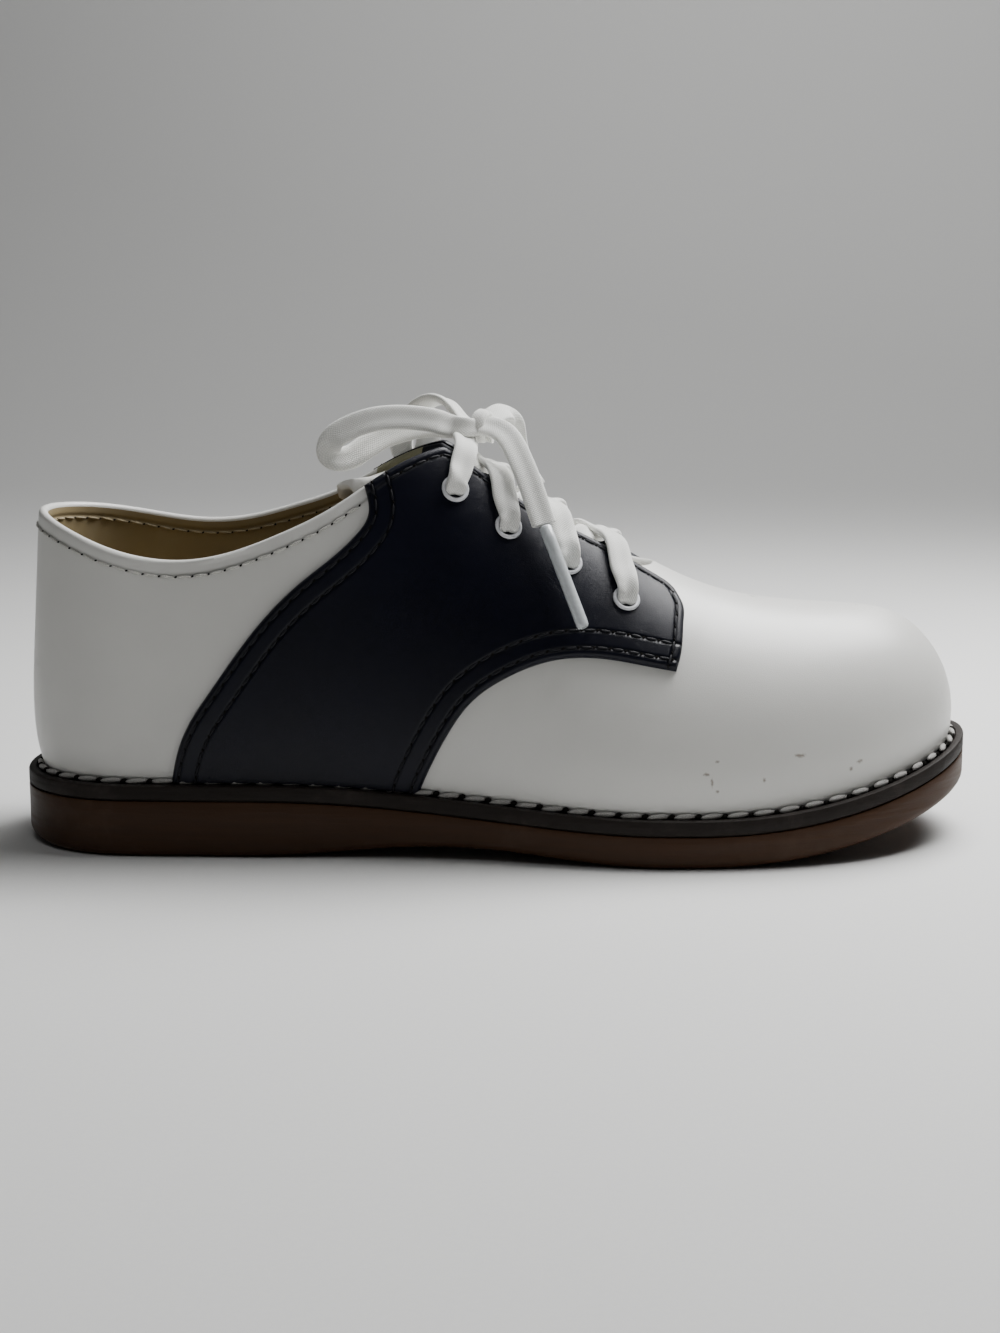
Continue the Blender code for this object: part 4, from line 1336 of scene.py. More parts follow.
class Draft:
    """A mesh in the making: grids of points with finishes, values and a UV map."""

    def __init__(self, name: str) -> None:
        """Starts an empty draft.

        Args:
            name: The piece's name.
        """
        self.name = name
        self.points: list[np.ndarray] = []
        self.faces: list[np.ndarray] = []
        self.finishes: list[np.ndarray] = []
        self.values: list[dict[str, np.ndarray]] = []
        self.uvs: list[np.ndarray] = []
        self.count = 0

    def grid(
        self,
        points: np.ndarray,
        finish: Any = 0,
        values: dict[str, np.ndarray] | None = None,
        uv: np.ndarray | None = None,
    ) -> None:
        """Adds a grid of four-cornered faces.

        Args:
            points: Rows and columns of points.
            finish: The number of the finish, or one for each face.
            values: Named values, one for each point.
            uv: Places in the UV map, one for each point.
        """
        rows, columns = points.shape[:2]
        number = self.count + np.arange(rows * columns).reshape(rows, columns)
        corners = (number[:-1, :-1], number[1:, :-1], number[1:, 1:], number[:-1, 1:])
        faces = np.stack(corners, axis=-1).reshape(-1, 4)
        self.points.append(points.reshape(-1, 3))
        self.faces.append(faces)
        self.finishes.append(np.broadcast_to(finish, (rows - 1, columns - 1)).reshape(-1))
        self.values.append({k: np.asarray(v).reshape(-1) for k, v in (values or {}).items()})
        flat = np.zeros((rows * columns, 2)) if uv is None else uv.reshape(-1, 2)
        self.uvs.append(flat)
        self.count += rows * columns

    def lid(self, ring: np.ndarray, finish: int = 0) -> None:
        """Closes a ring of points with a fan of faces round its middle.

        Args:
            ring: The ring's points.
            finish: The number of the finish.
        """
        closed = np.concatenate([ring, ring[:1]])
        middle = np.broadcast_to(ring.mean(axis=0), closed.shape)
        self.grid(np.stack([closed, middle]), finish)

    def build(self, materials: Sequence[bpy.types.Material], smooth: float = 40.0) -> bpy.types.Object:
        """Makes the object, welded, with its faces pointing outwards.

        Args:
            materials: The finishes, in the order of their numbers.
            smooth: Edges sharper than this many degrees stay sharp.

        Returns:
            The object, at the origin.
        """
        points = np.concatenate(self.points)
        faces = np.concatenate(self.faces)
        mesh = bpy.data.meshes.new(self.name)
        mesh.from_pydata(points.tolist(), [], faces.tolist())
        mesh.polygons.foreach_set("material_index", np.concatenate(self.finishes).astype(np.int32))
        names = sorted({name for values in self.values for name in values})
        for name in names:
            parts = [
                values.get(name, np.full(len(rows), 1.0))
                for values, rows in zip(self.values, self.points)
            ]
            layer = mesh.attributes.new(name, "FLOAT", "POINT")
            layer.data.foreach_set("value", np.concatenate(parts).astype(np.float32))
        uv = mesh.uv_layers.new(name="weave")
        corners = faces.reshape(-1)
        uv.data.foreach_set("uv", np.concatenate(self.uvs)[corners].astype(np.float32).reshape(-1))
        for material in materials:
            mesh.materials.append(material)
        work = bmesh.new()
        work.from_mesh(mesh)
        bmesh.ops.remove_doubles(work, verts=work.verts, dist=WELD)
        bmesh.ops.dissolve_degenerate(work, edges=work.edges, dist=WELD)
        bmesh.ops.recalc_face_normals(work, faces=work.faces)
        work.to_mesh(mesh)
        work.free()
        mesh.shade_smooth()
        mesh.set_sharp_from_angle(angle=math.radians(smooth))
        return new_object(self.name, mesh)


def new_object(name: str, data: Any) -> bpy.types.Object:
    """A new object in the scene.

    Args:
        name: Its name.
        data: Its mesh, camera or light.

    Returns:
        The object.
    """
    thing = bpy.data.objects.new(name, data)
    bpy.context.scene.collection.objects.link(thing)
    return thing


def guide_object(name: str, points: np.ndarray, edges: Sequence[Any], lie: np.ndarray) -> bpy.types.Object:
    """Marks or lines for a Geometry Nodes tree to follow.

    Args:
        name: The name of the piece to come.
        points: The marks or the lines' points.
        edges: Pairs of points that a line joins.
        lie: The way that each point faces, kept as the attribute lie.

    Returns:
        The object.
    """
    mesh = bpy.data.meshes.new(name)
    mesh.from_pydata(points.tolist(), edges, [])
    layer = mesh.attributes.new("lie", "FLOAT_VECTOR", "POINT")
    layer.data.foreach_set("vector", lie.astype(np.float32).reshape(-1))
    return new_object(name, mesh)


def settle(piece: bpy.types.Object, slot: str, *nodes: str) -> bpy.types.Object:
    """Rides a finished piece on the shoe and hides the solids that it replaces.

    Args:
        piece: The piece.
        slot: A material slot's name; not used.
        nodes: The solids that it replaces.

    Returns:
        The piece.
    """
    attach(piece, "root")
    if nodes:
        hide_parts(*nodes)
    LOG.info("%s: %d faces", piece.name, len(piece.data.polygons))
    return piece


def geometry_tree(name: str, sizes: Sequence[tuple[str, float]]) -> tuple[Any, NodeDesk, Any, Any]:
    """Starts a Geometry Nodes tree with named sizes and a material.

    Args:
        name: The tree's name.
        sizes: Name and default of each size.

    Returns:
        The tree, its desk, its input node and its output node.
    """
    tree = bpy.data.node_groups.new(name, "GeometryNodeTree")
    tree.interface.new_socket("Geometry", in_out="INPUT", socket_type="NodeSocketGeometry")
    for label, default in sizes:
        socket = tree.interface.new_socket(label, in_out="INPUT", socket_type="NodeSocketFloat")
        socket.default_value = default
    for label in ("Finish", "Hole Shade Finish"):
        tree.interface.new_socket(label, in_out="INPUT", socket_type="NodeSocketMaterial")
    tree.interface.new_socket("Geometry", in_out="OUTPUT", socket_type="NodeSocketGeometry")
    desk = NodeDesk(tree)
    return tree, desk, desk.add("NodeGroupInput"), desk.add("NodeGroupOutput")


def bake_nodes(
    guide: bpy.types.Object, tree: Any, sizes: dict[str, float], finishes: dict[str, bpy.types.Material]
) -> bpy.types.Object:
    """Runs a Geometry Nodes tree on a guide and keeps its result as a plain mesh.

    Args:
        guide: The object with the marks or lines that the tree follows.
        tree: The tree.
        sizes: The value of each named size.
        finishes: The material of each named finish.

    Returns:
        The finished piece, with the guide's name.
    """
    modifier = guide.modifiers.new("nodes", "NODES")
    modifier.node_group = tree
    for item in tree.interface.items_tree:
        if item.in_out == "INPUT" and item.name in sizes:
            modifier[item.identifier] = float(sizes[item.name])
        elif item.in_out == "INPUT" and item.name in finishes:
            modifier[item.identifier] = finishes[item.name]
    bpy.context.view_layer.update()
    depsgraph = bpy.context.evaluated_depsgraph_get()
    mesh = bpy.data.meshes.new_from_object(guide.evaluated_get(depsgraph))
    name = guide.name
    guide.modifiers.remove(modifier)
    bpy.data.objects.remove(guide, do_unlink=True)
    mesh.name = name
    return new_object(name, mesh)


@dataclass
class Stitching:
    """Sews rows of stitches along guide lines, with one Geometry Nodes tree."""

    wardrobe: Wardrobe
    tree: Any = None

    def __post_init__(self) -> None:
        """Builds the tree."""
        self.tree = self._stitch_tree()

    @staticmethod
    def _stitch_tree() -> Any:
        """Stitches of one length, laid along lines at a pitch, with a dark hole of painted shade between each
        two.

        Returns:
            The tree.
        """
        sizes = (("Pitch", 0.0033), ("Length", 0.0026), ("Width", 0.0006), ("Height", 0.0005))
        sizes += (("Turn", 0.0), ("Uneven", 0.06), ("Hole Length", 0.0008), ("Hole Width", 0.0004))
        tree, desk, given, put = geometry_tree("stitch_row", sizes)
        size = given.outputs
        curve = desk.add("GeometryNodeMeshToCurve", {"Mesh": size["Geometry"]}).outputs["Curve"]
        inputs = {"Curve": curve, "Length": size["Pitch"]}
        spaced = desk.add("GeometryNodeResampleCurve", inputs, mode="LENGTH").outputs["Curve"]
        inputs = {
            "Primary Axis": desk.lie(),
            "Secondary Axis": desk.add("GeometryNodeInputTangent").outputs["Tangent"],
        }
        axes = {"primary_axis": "Z", "secondary_axis": "X"}
        facing = desk.add("FunctionNodeAxesToRotation", inputs, **axes).outputs["Rotation"]
        inputs = {"Min": desk.math("MULTIPLY", size["Uneven"], -1.0), "Max": size["Uneven"], "Seed": 7}
        sway = desk.add("FunctionNodeRandomValue", inputs, data_type="FLOAT")
        sway_value = next(socket for socket in sway.outputs if socket.type == "VALUE" and socket.enabled)
        yaw = desk.combined(Z=desk.math("ADD", sway_value, size["Turn"]))
        inputs = {"Rotation": facing, "Rotate By": yaw}
        turned = desk.add("FunctionNodeRotateRotation", inputs, rotation_space="LOCAL").outputs["Rotation"]
        inputs = {"Segments": 8, "Rings": 6, "Radius": 0.5}
        ball = desk.add("GeometryNodeMeshUVSphere", inputs).outputs["Mesh"]
        scale = desk.combined(X=size["Length"], Y=size["Width"], Z=size["Height"])
        stitch = desk.add("GeometryNodeTransform", {"Geometry": ball, "Scale": scale}).outputs["Geometry"]
        soft = desk.add("GeometryNodeSetShadeSmooth", {"Geometry": stitch}).outputs["Geometry"]
        stitches = desk.copies(spaced, soft, turned)
        # A dark ellipsoid between each two stitches: painted shade for the needle hole
        scale = desk.combined(X=size["Hole Length"], Y=size["Hole Width"], Z=size["Hole Width"])
        inputs = {"Geometry": ball, "Rotation": (0.0, 0.0, 0.5), "Scale": scale}
        hole = desk.add("GeometryNodeTransform", inputs).outputs["Geometry"]
        inputs = {
            "Instances": desk.copies(spaced, hole, facing),
            "Translation": desk.combined(X=desk.math("MULTIPLY", size["Pitch"], 0.5)),
            "Local Space": True,
        }
        holes = desk.add("GeometryNodeTranslateInstances", inputs).outputs["Instances"]
        join = desk.add("GeometryNodeJoinGeometry")
        for instances, finish in ((stitches, "Finish"), (holes, "Hole Shade Finish")):
            desk.feed(join, {0: desk.dressed(instances, size[finish])})
        desk.feed(put, {"Geometry": join.outputs["Geometry"]})
        return tree

    def sew(
        self,
        name: str,
        rows: Sequence[tuple[np.ndarray, np.ndarray]],
        finish: Finish,
        slot: str,
        sizes: dict[str, float],
    ) -> bpy.types.Object:
        """Sews stitches along lines.

        Args:
            name: The piece's name.
            rows: The points of each line, and the direction that the stitches face there.
            finish: The thread.
            slot: A material slot's name, handed on to settle.
            sizes: The tree's sizes, by name.

        Returns:
            The piece.
        """
        points = np.concatenate([line for line, _ in rows])
        lie = np.concatenate([facing for _, facing in rows])
        edges = []
        start = 0
        for line, _ in rows:
            edges += [(start + i, start + i + 1) for i in range(len(line) - 1)]
            start += len(line)
        guide = guide_object(name, points, edges, lie)
        finishes = {"Finish": self.wardrobe.get(finish), "Hole Shade Finish": self.wardrobe.get(PINHOLE_SHADE)}
        return settle(bake_nodes(guide, self.tree, sizes, finishes), slot)


def dense_shares(heel: int, middle: int, toe: int) -> np.ndarray:
    """Shares along the feather line, closer where heel and toe are round.

    Args:
        heel: Steps round one half of the heel.
        middle: Steps along the side.
        toe: Steps round one half of the toe.

    Returns:
        The shares, from 0 to 1.
    """
    turn = np.linspace(0, RIGHT_ANGLE, heel + 1)
    back = LAST.heel_round * (1 - np.cos(turn))
    front = 1 - (1 - LAST.toe_round) * (1 - np.cos(np.linspace(RIGHT_ANGLE, 0, toe + 1)))
    side = np.linspace(LAST.heel_round, LAST.toe_round, middle + 1)
    return np.concatenate([back[:-1], side[:-1], front])


@dataclass
class SoleUnit:
    """Outsole, welt, welt stitching and insole."""

    wardrobe: Wardrobe
    stitching: Stitching
    welt_thickness: float = 0.0034
    welt_width: float = 0.0095
    edge_round: float = 0.0018
    groove: tuple[float, float] = (0.0016, 0.0038)
    groove_depth: float = 0.0009
    ledge_round: float = 0.0004
    welt_round: float = 0.0006
    thread_inset: float = 0.0027
    thread_rise: float = 0.0004
    thread_pitch: float = 0.0056
    insole_thickness: float = 0.0026
    insole_gap: float = 0.0008
    insole_edge: tuple[tuple[float, float], ...] = ((0.0, 0.0006), (0.0002, 0.0002), (0.0007, 0.0))
    edge_steps: int = 7
    side_levels: tuple[float, float] = (0.4, 0.7)
    lid_steps: int = 17
    welt_foot: float = 0.0004
    groove_slope: float = 0.0003
    groove_shoulder: float = 0.8
    thread_size: float = 0.0014
    thread_gap: float = 0.0003
    thread_lean: float = 0.35
    shares: np.ndarray = field(default_factory=lambda: dense_shares(44, 120, 60))

    def level(self, side: Side, inset: float, height_at: Curve1D) -> np.ndarray:
        """One side of the outline at an inset and a height that changes with x."""
        x, y = LAST.outline(self.shares, side, inset)
        return np.stack([x, y, height_at(x)], axis=-1)

    def walls(self, draft: Draft, levels: Sequence[tuple[float, Curve1D]]) -> None:
        """Adds walls round the shoe through (inset, height) levels."""
        for side in Side:
            draft.grid(np.stack([self.level(side, *level) for level in levels]))

    def lid(self, draft: Draft, inset: float, height_at: Curve1D) -> None:
        """Adds a lid across the shoe.

        Args:
            draft: The mesh in the making.
            inset: How far inwards.
            height_at: The height over x.
        """
        left = self.level(Side.LATERAL, inset, height_at)
        right = self.level(Side.MEDIAL, inset, height_at)
        share = np.linspace(0, 1, self.lid_steps)[:, None, None]
        draft.grid(left[None] * (1 - share) + right[None] * share)

    @staticmethod
    def level_at(share: float, rise: float) -> Curve1D:
        """The height over x of a line round the sole.

        Args:
            share: Where the line is, from the underside (0) to the welt's top (1).
            rise: How far above that.

        Returns:
            The height as a function of x.
        """
        return lambda x: LAST.underside_at(x) * (1 - share) + LAST.seat_at(x) * share + rise

    def build_outsole(self) -> None:
        """The rubber sole, with a round lower edge and a ledge for the welt."""
        draft = Draft("rubber_sole")
        low = -self.welt_thickness - LAST.clearance / 3
        bed = self.welt_width + LAST.clearance
        soft = self.ledge_round
        levels = []
        for turn in np.linspace(0, RIGHT_ANGLE, self.edge_steps):
            rise = self.edge_round * (1 - math.cos(turn))
            levels.append((self.edge_round * (1 - math.sin(turn)), self.level_at(0.0, rise)))
        levels += [(0.0, self.level_at(share, low * share)) for share in self.side_levels]
        middle = soft * CORNER_MIDDLE
        levels += [(0.0, self.level_at(1.0, low - soft)), (middle, self.level_at(1.0, low - middle))]
        levels += [(soft, self.level_at(1.0, low)), (bed, self.level_at(1.0, low)), (bed, LAST.seat_at)]
        self.walls(draft, levels)
        self.lid(draft, self.edge_round, LAST.underside_at)
        self.lid(draft, bed, LAST.seat_at)
        settle(draft.build([self.wardrobe.get(SOLE_RUBBER)]), "sole_rubber", "outsole")

    def build_welt(self) -> None:
        """The welt strip, rounded outside, with the groove that the thread lies in."""
        draft = Draft("welt_strip")
        soft = self.welt_round
        start, end = self.groove
        depth = self.groove_depth
        middle = soft * CORNER_MIDDLE
        shoulder = -depth * self.groove_shoulder
        profile = [(self.welt_foot, -self.welt_thickness), (0.0, -self.welt_thickness + self.welt_foot)]
        profile += [(0.0, -soft), (middle, -middle), (soft, -HAIR)]
        profile += [(start, 0.0), (start + self.groove_slope, shoulder), ((start + end) / 2, -depth)]
        profile += [(end - self.groove_slope, shoulder), (end, 0.0), (self.welt_width, 0.0)]
        profile += [(self.welt_width, -self.welt_thickness), profile[0]]
        self.walls(draft, [(inset, self.level_at(1.0, rise)) for inset, rise in profile])
        settle(draft.build([self.wardrobe.get(WELT_FIBRE)]), "welt_strip", "welt")

    def build_welt_thread(self) -> None:
        """The thick thread that lies in the groove in slanting loops."""
        rows = []
        for side in Side:
            line = self.level(side, self.thread_inset, self.level_at(1.0, self.thread_rise))
            away = np.gradient(line, axis=0)
            out = unit(np.stack([away[:, 1], -away[:, 0], np.zeros(len(away))], axis=-1))
            out *= np.sign(out[:, 1:2] * side.value + 1e-9)
            rows.append((line, unit(out * self.thread_lean + np.array([0, 0, 1.0]))))
        self.stitching.sew(
            "welt_thread",
            rows,
            GREY_THREAD,
            "welt_strip",
            {
                "Pitch": self.thread_pitch,
                "Length": self.thread_pitch - self.thread_gap,
                "Width": self.thread_size,
                "Height": self.thread_size,
                "Turn": 0.16,
                "Uneven": 0.05,
                "Hole Length": 0.0016,
                "Hole Width": 0.0012,
            },
        )

    def build_insole(self) -> None:
        """The sock inside, rounded along its edge and slightly hollow under the heel."""
        draft = Draft("sock_lining")
        edge = LAST.welt_margin + LAST.upper_wall + self.insole_gap
        top = LAST.clearance + self.insole_thickness
        levels = [(edge, self.level_at(1.0, LAST.clearance))]
        levels += [(edge + inset, self.level_at(1.0, top - drop)) for inset, drop in self.insole_edge]
        self.walls(draft, levels)
        self.lid(draft, *levels[0])
        self.lid(draft, *levels[-1])
        settle(draft.build([self.wardrobe.get(LINING_LEATHER)]), "sock_lining", "insole")

    def build(self) -> None:
        """Builds every piece of the sole unit."""
        self.build_outsole()
        self.build_welt()
        self.build_welt_thread()
        self.build_insole()


@dataclass
class Upper:
    """The white leather upper with its lining, rim and collar stitching."""

    wardrobe: Wardrobe
    stitching: Stitching
    rows: int = 54
    rim_steps: int = 8
    lining_rows: int = 30
    dyed_from: float = 0.417
    stitches_end: float = 0.352
    edge_room: float = 0.004
    row_spread: float = 1.15
    shares: np.ndarray = field(default_factory=lambda: dense_shares(36, 170, 60))

    @staticmethod
    def creases(share: np.ndarray, angle: np.ndarray) -> np.ndarray:
        """Height of the leather's main creases, across the vamp and the quarter.

        Args:
            share: Shares of the shoe's length.
            angle: Angles up from the feather line.

        Returns:
            The heights.
        """
        x = (share - 0.5) * LAST.length
        up = angle / RIGHT_ANGLE
        height = np.zeros_like(x + up)
        for fold in CREASES:
            past = x - fold.place - (up - fold.middle) * CREASE_SLANT
            height += fold.rise * np.exp(-((past / fold.width) ** 2) - ((up - fold.middle) / fold.reach) ** 2)
        return height

    def build_shell(self) -> None:
        """The shell: outer face, rolled rim and lining as one closed wall."""
        draft = Draft("leather_upper")
        wall = LAST.upper_wall
        radius = wall / 2
        share = self.shares
        open_columns = share < LAST.throat_end
        turns = np.linspace(0, math.pi, self.rim_steps + 1)[1:-1]
        sheets = {}
        for side in Side:
            edge = LAST.edge_angle(share, side)
            slope = LAST.surface(share, side, edge) - LAST.surface(share, side, edge - PROBE_ANGLE)
            steep = np.linalg.norm(slope, axis=-1) / PROBE_ANGLE
            stop = np.where(open_columns, edge - radius / steep, edge)
            fractions = np.linspace(0, 1, self.rows + 1) ** self.row_spread
            angles = stop[:, None] * fractions
            outer = LAST.point(share[:, None], side, angles, self.creases(share[:, None], angles))
            inner_angles = stop[:, None] * np.linspace(1, 0, self.lining_rows + 1)
            inner = LAST.point(share[:, None], side, inner_angles, -wall)
            centre = LAST.point(share, side, stop, -radius)
            normal = LAST.normal(share, side, stop)
            up = unit(slope)
            reach = np.where(open_columns, radius, 0.0)[:, None]
            rim = [centre + normal * radius * math.cos(t) + up * reach * math.sin(t) for t in turns]
            sheets[side] = np.concatenate([outer, np.stack(rim, axis=1), inner], axis=1)
        middle = (sheets[Side.LATERAL] + sheets[Side.MEDIAL]) / 2
        for side, sheet in sheets.items():
            sheet[0] = middle[0]
            sheet[-1] = middle[-1]
            closed = ~open_columns
            sheet[closed, self.rows :] = np.where(
                np.arange(sheet.shape[1] - self.rows)[None, :, None] <= self.rim_steps,
                middle[closed, self.rows :],
                sheet[closed, self.rows :],
            )
            run = run_length(np.swapaxes(sheet, 0, 1)).T
            at_rim = run[:, self.rows + self.rim_steps // 2][:, None]
            on_collar = share[:, None] < LAST.facing_top + self.edge_room
            from_rim = np.where(on_collar, np.abs(at_rim - run), 1.0)
            columns = sheet.shape[1] - 1
            finish = np.zeros((len(share) - 1, columns), int)
            finish[:, self.rows + self.rim_steps :] = 1
            cut_from = SADDLE_BACK[-1].along + self.edge_room
            cut = (share[:-1] > cut_from) & (share[:-1] < self.dyed_from)
            finish[cut, self.rows : self.rows + self.rim_steps + 1] = 2
            dyed = (share[:-1] >= self.dyed_from) & (share[:-1] < SADDLE_FRONT_END[0].along)
            finish[dyed, self.rows - 1 : self.rows + self.rim_steps + 1] = 3
            draft.grid(sheet, finish, {"from_rim": from_rim})
            foot = np.stack([sheet[:, -1], sheet[:, 0]], axis=1)
            draft.grid(foot, 1, {"from_rim": np.ones(foot.shape[:2])})
        plan = (WHITE_LEATHER, LINING_LEATHER, RAW_EDGE, DYED_EDGE)
        finishes = [self.wardrobe.get(finish) for finish in plan]
        settle(draft.build(finishes, 60.0), "white_leather", "upper")

    def collar_row(self, side: Side, height: float) -> tuple[np.ndarray, np.ndarray]:
        """The line of the collar's stitches on one side, outside or inside.

        Args:
            side: The shoe's side.
            height: How far over the outer face, below it for the lining.

        Returns:
            The line's points and their directions.
        """
        share = self.shares[self.shares < self.stitches_end]
        edge = LAST.edge_angle(share, side)
        step = LAST.surface(share, side, edge) - LAST.surface(share, side, edge - PROBE_ANGLE)
        angle = edge - Seams.COLLAR * PROBE_ANGLE / np.linalg.norm(step, axis=-1)
        facing = LAST.normal(share, side, angle)
        return LAST.point(share, side, angle, height), facing * (1 if height >= 0 else -1)

    def build_stitches(self) -> None:
        """The row of stitches below the collar, outside and inside."""
        sizes = {"Pitch": 0.0035, "Length": 0.0034, "Width": 0.00065, "Height": 0.0010}
        sizes |= {"Turn": -0.08, "Hole Length": 0.00070, "Hole Width": 0.00042}
        outside = [self.collar_row(side, STITCH_LIFT) for side in Side]
        inside = [self.collar_row(side, -LAST.upper_wall - STITCH_LIFT) for side in Side]
        self.stitching.sew("collar_stitches", outside, LIGHT_THREAD, "white_leather", sizes)
        self.stitching.sew("lining_stitches", inside, TAN_THREAD, "white_leather", sizes)

    def build(self) -> None:
        """Builds the shell and its stitching."""
        self.build_shell()
        self.build_stitches()


@dataclass
class Saddle:
    """One half of the navy saddle with its rows of stitches."""

    wardrobe: Wardrobe
    stitching: Stitching
    side: Side
    height: float = 0.0015
    edge_round: float = 0.0010
    edge_lift: float = 0.00008
    columns: int = 96
    rows: int = 72
    border_steps: tuple[float, ...] = (0.0, 0.1, 0.35, 0.7, 1.1)
    patch_size: tuple[float, float] = (0.075, 0.070)
    top_pull: int = 5
    collar_steps: int = 26
    facing_steps: int = 51
    end_steps: int = 41
    side_steps: int = 160
    others_room: float = 0.0016
    front_room: float = 0.0010
    back_room: float = 0.0008
    end_room: float = 0.0012

    def edges(self) -> tuple[np.ndarray, np.ndarray, np.ndarray, int]:
        """The saddle's top, back and front edges as rows of along and up.

        Returns:
            The three edges, and the number of the top edge's corner.
        """
        collar = np.linspace(SADDLE_BACK[-1].along, LAST.facing_top, self.collar_steps)
        facing = np.linspace(LAST.facing_top, SADDLE_FRONT_END[0].along, self.facing_steps)
        along = np.concatenate([collar[:-1], facing])
        edge = np.stack([along, LAST.edge_angle(along, self.side) / RIGHT_ANGLE], axis=-1)
        marks = [edge[-1]] + [tuple(mark) for mark in SADDLE_FRONT_END[1:]]
        end = smooth_route(marks, np.linspace(0, 1, self.end_steps))
        top = np.concatenate([edge[:-1], end])
        fine = np.linspace(0, 1, self.side_steps)
        back = smooth_route(SADDLE_BACK[:-1] + (Mark(*top[0]),), fine)
        front = smooth_route(SADDLE_LOWER_FRONT, fine)
        return top, back, front, len(edge) - 1

    def spread(self, count: int, length: float) -> np.ndarray:
        """Shares from 0 to 1, close together within the rounded border."""
        soft = np.array(self.border_steps) * self.edge_round / length
        return np.concatenate([soft, np.linspace(soft[-1], 1 - soft[-1], count)[1:-1], 1 - soft[::-1]])

    def patch(self) -> tuple[np.ndarray, dict[str, np.ndarray]]:
        """The saddle's surface as along and up, and its edges as lines of points.

        Returns:
            The grid, and the points of each edge by name.
        """
        top, back, front, corner = self.edges()
        u = self.spread(self.columns, self.patch_size[0])
        v = self.spread(self.rows, self.patch_size[1])
        top_at = np.stack([np.interp(u, np.linspace(0, 1, len(top)), top[:, k]) for k in (0, 1)], axis=-1)
        fine = np.linspace(0, 1, len(back))
        back_at = np.stack([np.interp(v, fine, back[:, k]) for k in (0, 1)], axis=-1)
        front_at = np.stack([np.interp(v, fine, front[:, k]) for k in (0, 1)], axis=-1)
        across = u[:, None, None]
        up = v[None, :, None]
        bottom = back_at[0] + (front_at[0] - back_at[0]) * across[:, 0]
        between = (1 - across) * back_at[None] + across * front_at[None]
        reach = up**self.top_pull
        between = between + (1 - reach) * bottom[:, None] + reach * top_at[:, None]
        corners = (1 - across) * ((1 - reach) * back_at[0] + reach * back_at[-1])
        corners = corners + across * ((1 - reach) * front_at[0] + reach * front_at[-1])
        lines = {
            "from_back": back,
            "from_front": front,
            "from_top": top[: corner + 1],
            "from_end": top[corner:],
        }
        points = {
            name: LAST.surface(line[:, 0], self.side, line[:, 1] * RIGHT_ANGLE)
            for name, line in lines.items()
        }
        return between - corners, points

    def build(self) -> None:
        """Builds the leather and sews its rows."""
        marks, lines = self.patch()
        along, angle = marks[..., 0], marks[..., 1] * RIGHT_ANGLE
        base = LAST.surface(along, self.side, angle)
        facing = LAST.normal(along, self.side, angle)
        apart = {name: distance_to(base, line) for name, line in lines.items()}
        to_edge = np.minimum.reduce(list(apart.values()))
        share = np.clip(to_edge / self.edge_round, 0, 1)
        lift = self.height * np.sqrt(1 - (1 - share) ** 2)
        lift = np.maximum(lift, self.edge_lift)
        outer = base + facing * lift[..., None]
        inner = base + facing * HAIR
        outer[:, 0, 2] = inner[:, 0, 2]
        draft = Draft(f"saddle_leather_{self.side.name.lower()}")
        draft.grid(outer, 0, apart)
        flat = {name: np.ones_like(value) for name, value in apart.items()}
        draft.grid(inner, 0, flat)
        for border in (np.s_[0], np.s_[-1], np.s_[:, 0], np.s_[:, -1]):
            pair = np.stack([outer[border], inner[border]])
            draft.grid(pair, 0, {name: np.ones(pair.shape[:2]) for name in apart})
        piece = draft.build([self.wardrobe.get(NAVY_LEATHER)], 60.0)
        settle(piece, "navy_leather", f"saddle_{self.side.name.lower()}")
        self.sew_rows(base, facing, apart)

    def contour(
        self, base: np.ndarray, facing: np.ndarray, apart: np.ndarray, inset: float, rows: bool
    ) -> tuple[np.ndarray, np.ndarray]:
        """The line at an inset from an edge, read off the grid.

        Args:
            base: The grid's points.
            facing: The grid's outward directions.
            apart: Distance from the edge at each point.
            inset: The line's distance from the edge.
            rows: Whether to look along the grid's rows instead of its columns.

        Returns:
            The line's points and their directions.
        """
        if rows:
            base, facing, apart = base.swapaxes(0, 1), facing.swapaxes(0, 1), apart.T
        points, ways = [], []
        for line, way, gap in zip(base, facing, apart):
            crossing = np.flatnonzero((gap[:-1] - inset) * (gap[1:] - inset) <= 0)
            if not len(crossing):
                continue
            i = crossing[-1] if gap[0] > gap[-1] else crossing[0]
            share = (inset - gap[i]) / (gap[i + 1] - gap[i] + 1e-12)
            points.append(line[i] + (line[i + 1] - line[i]) * share)
            ways.append(way[i])
        return np.array(points), unit(np.array(ways))

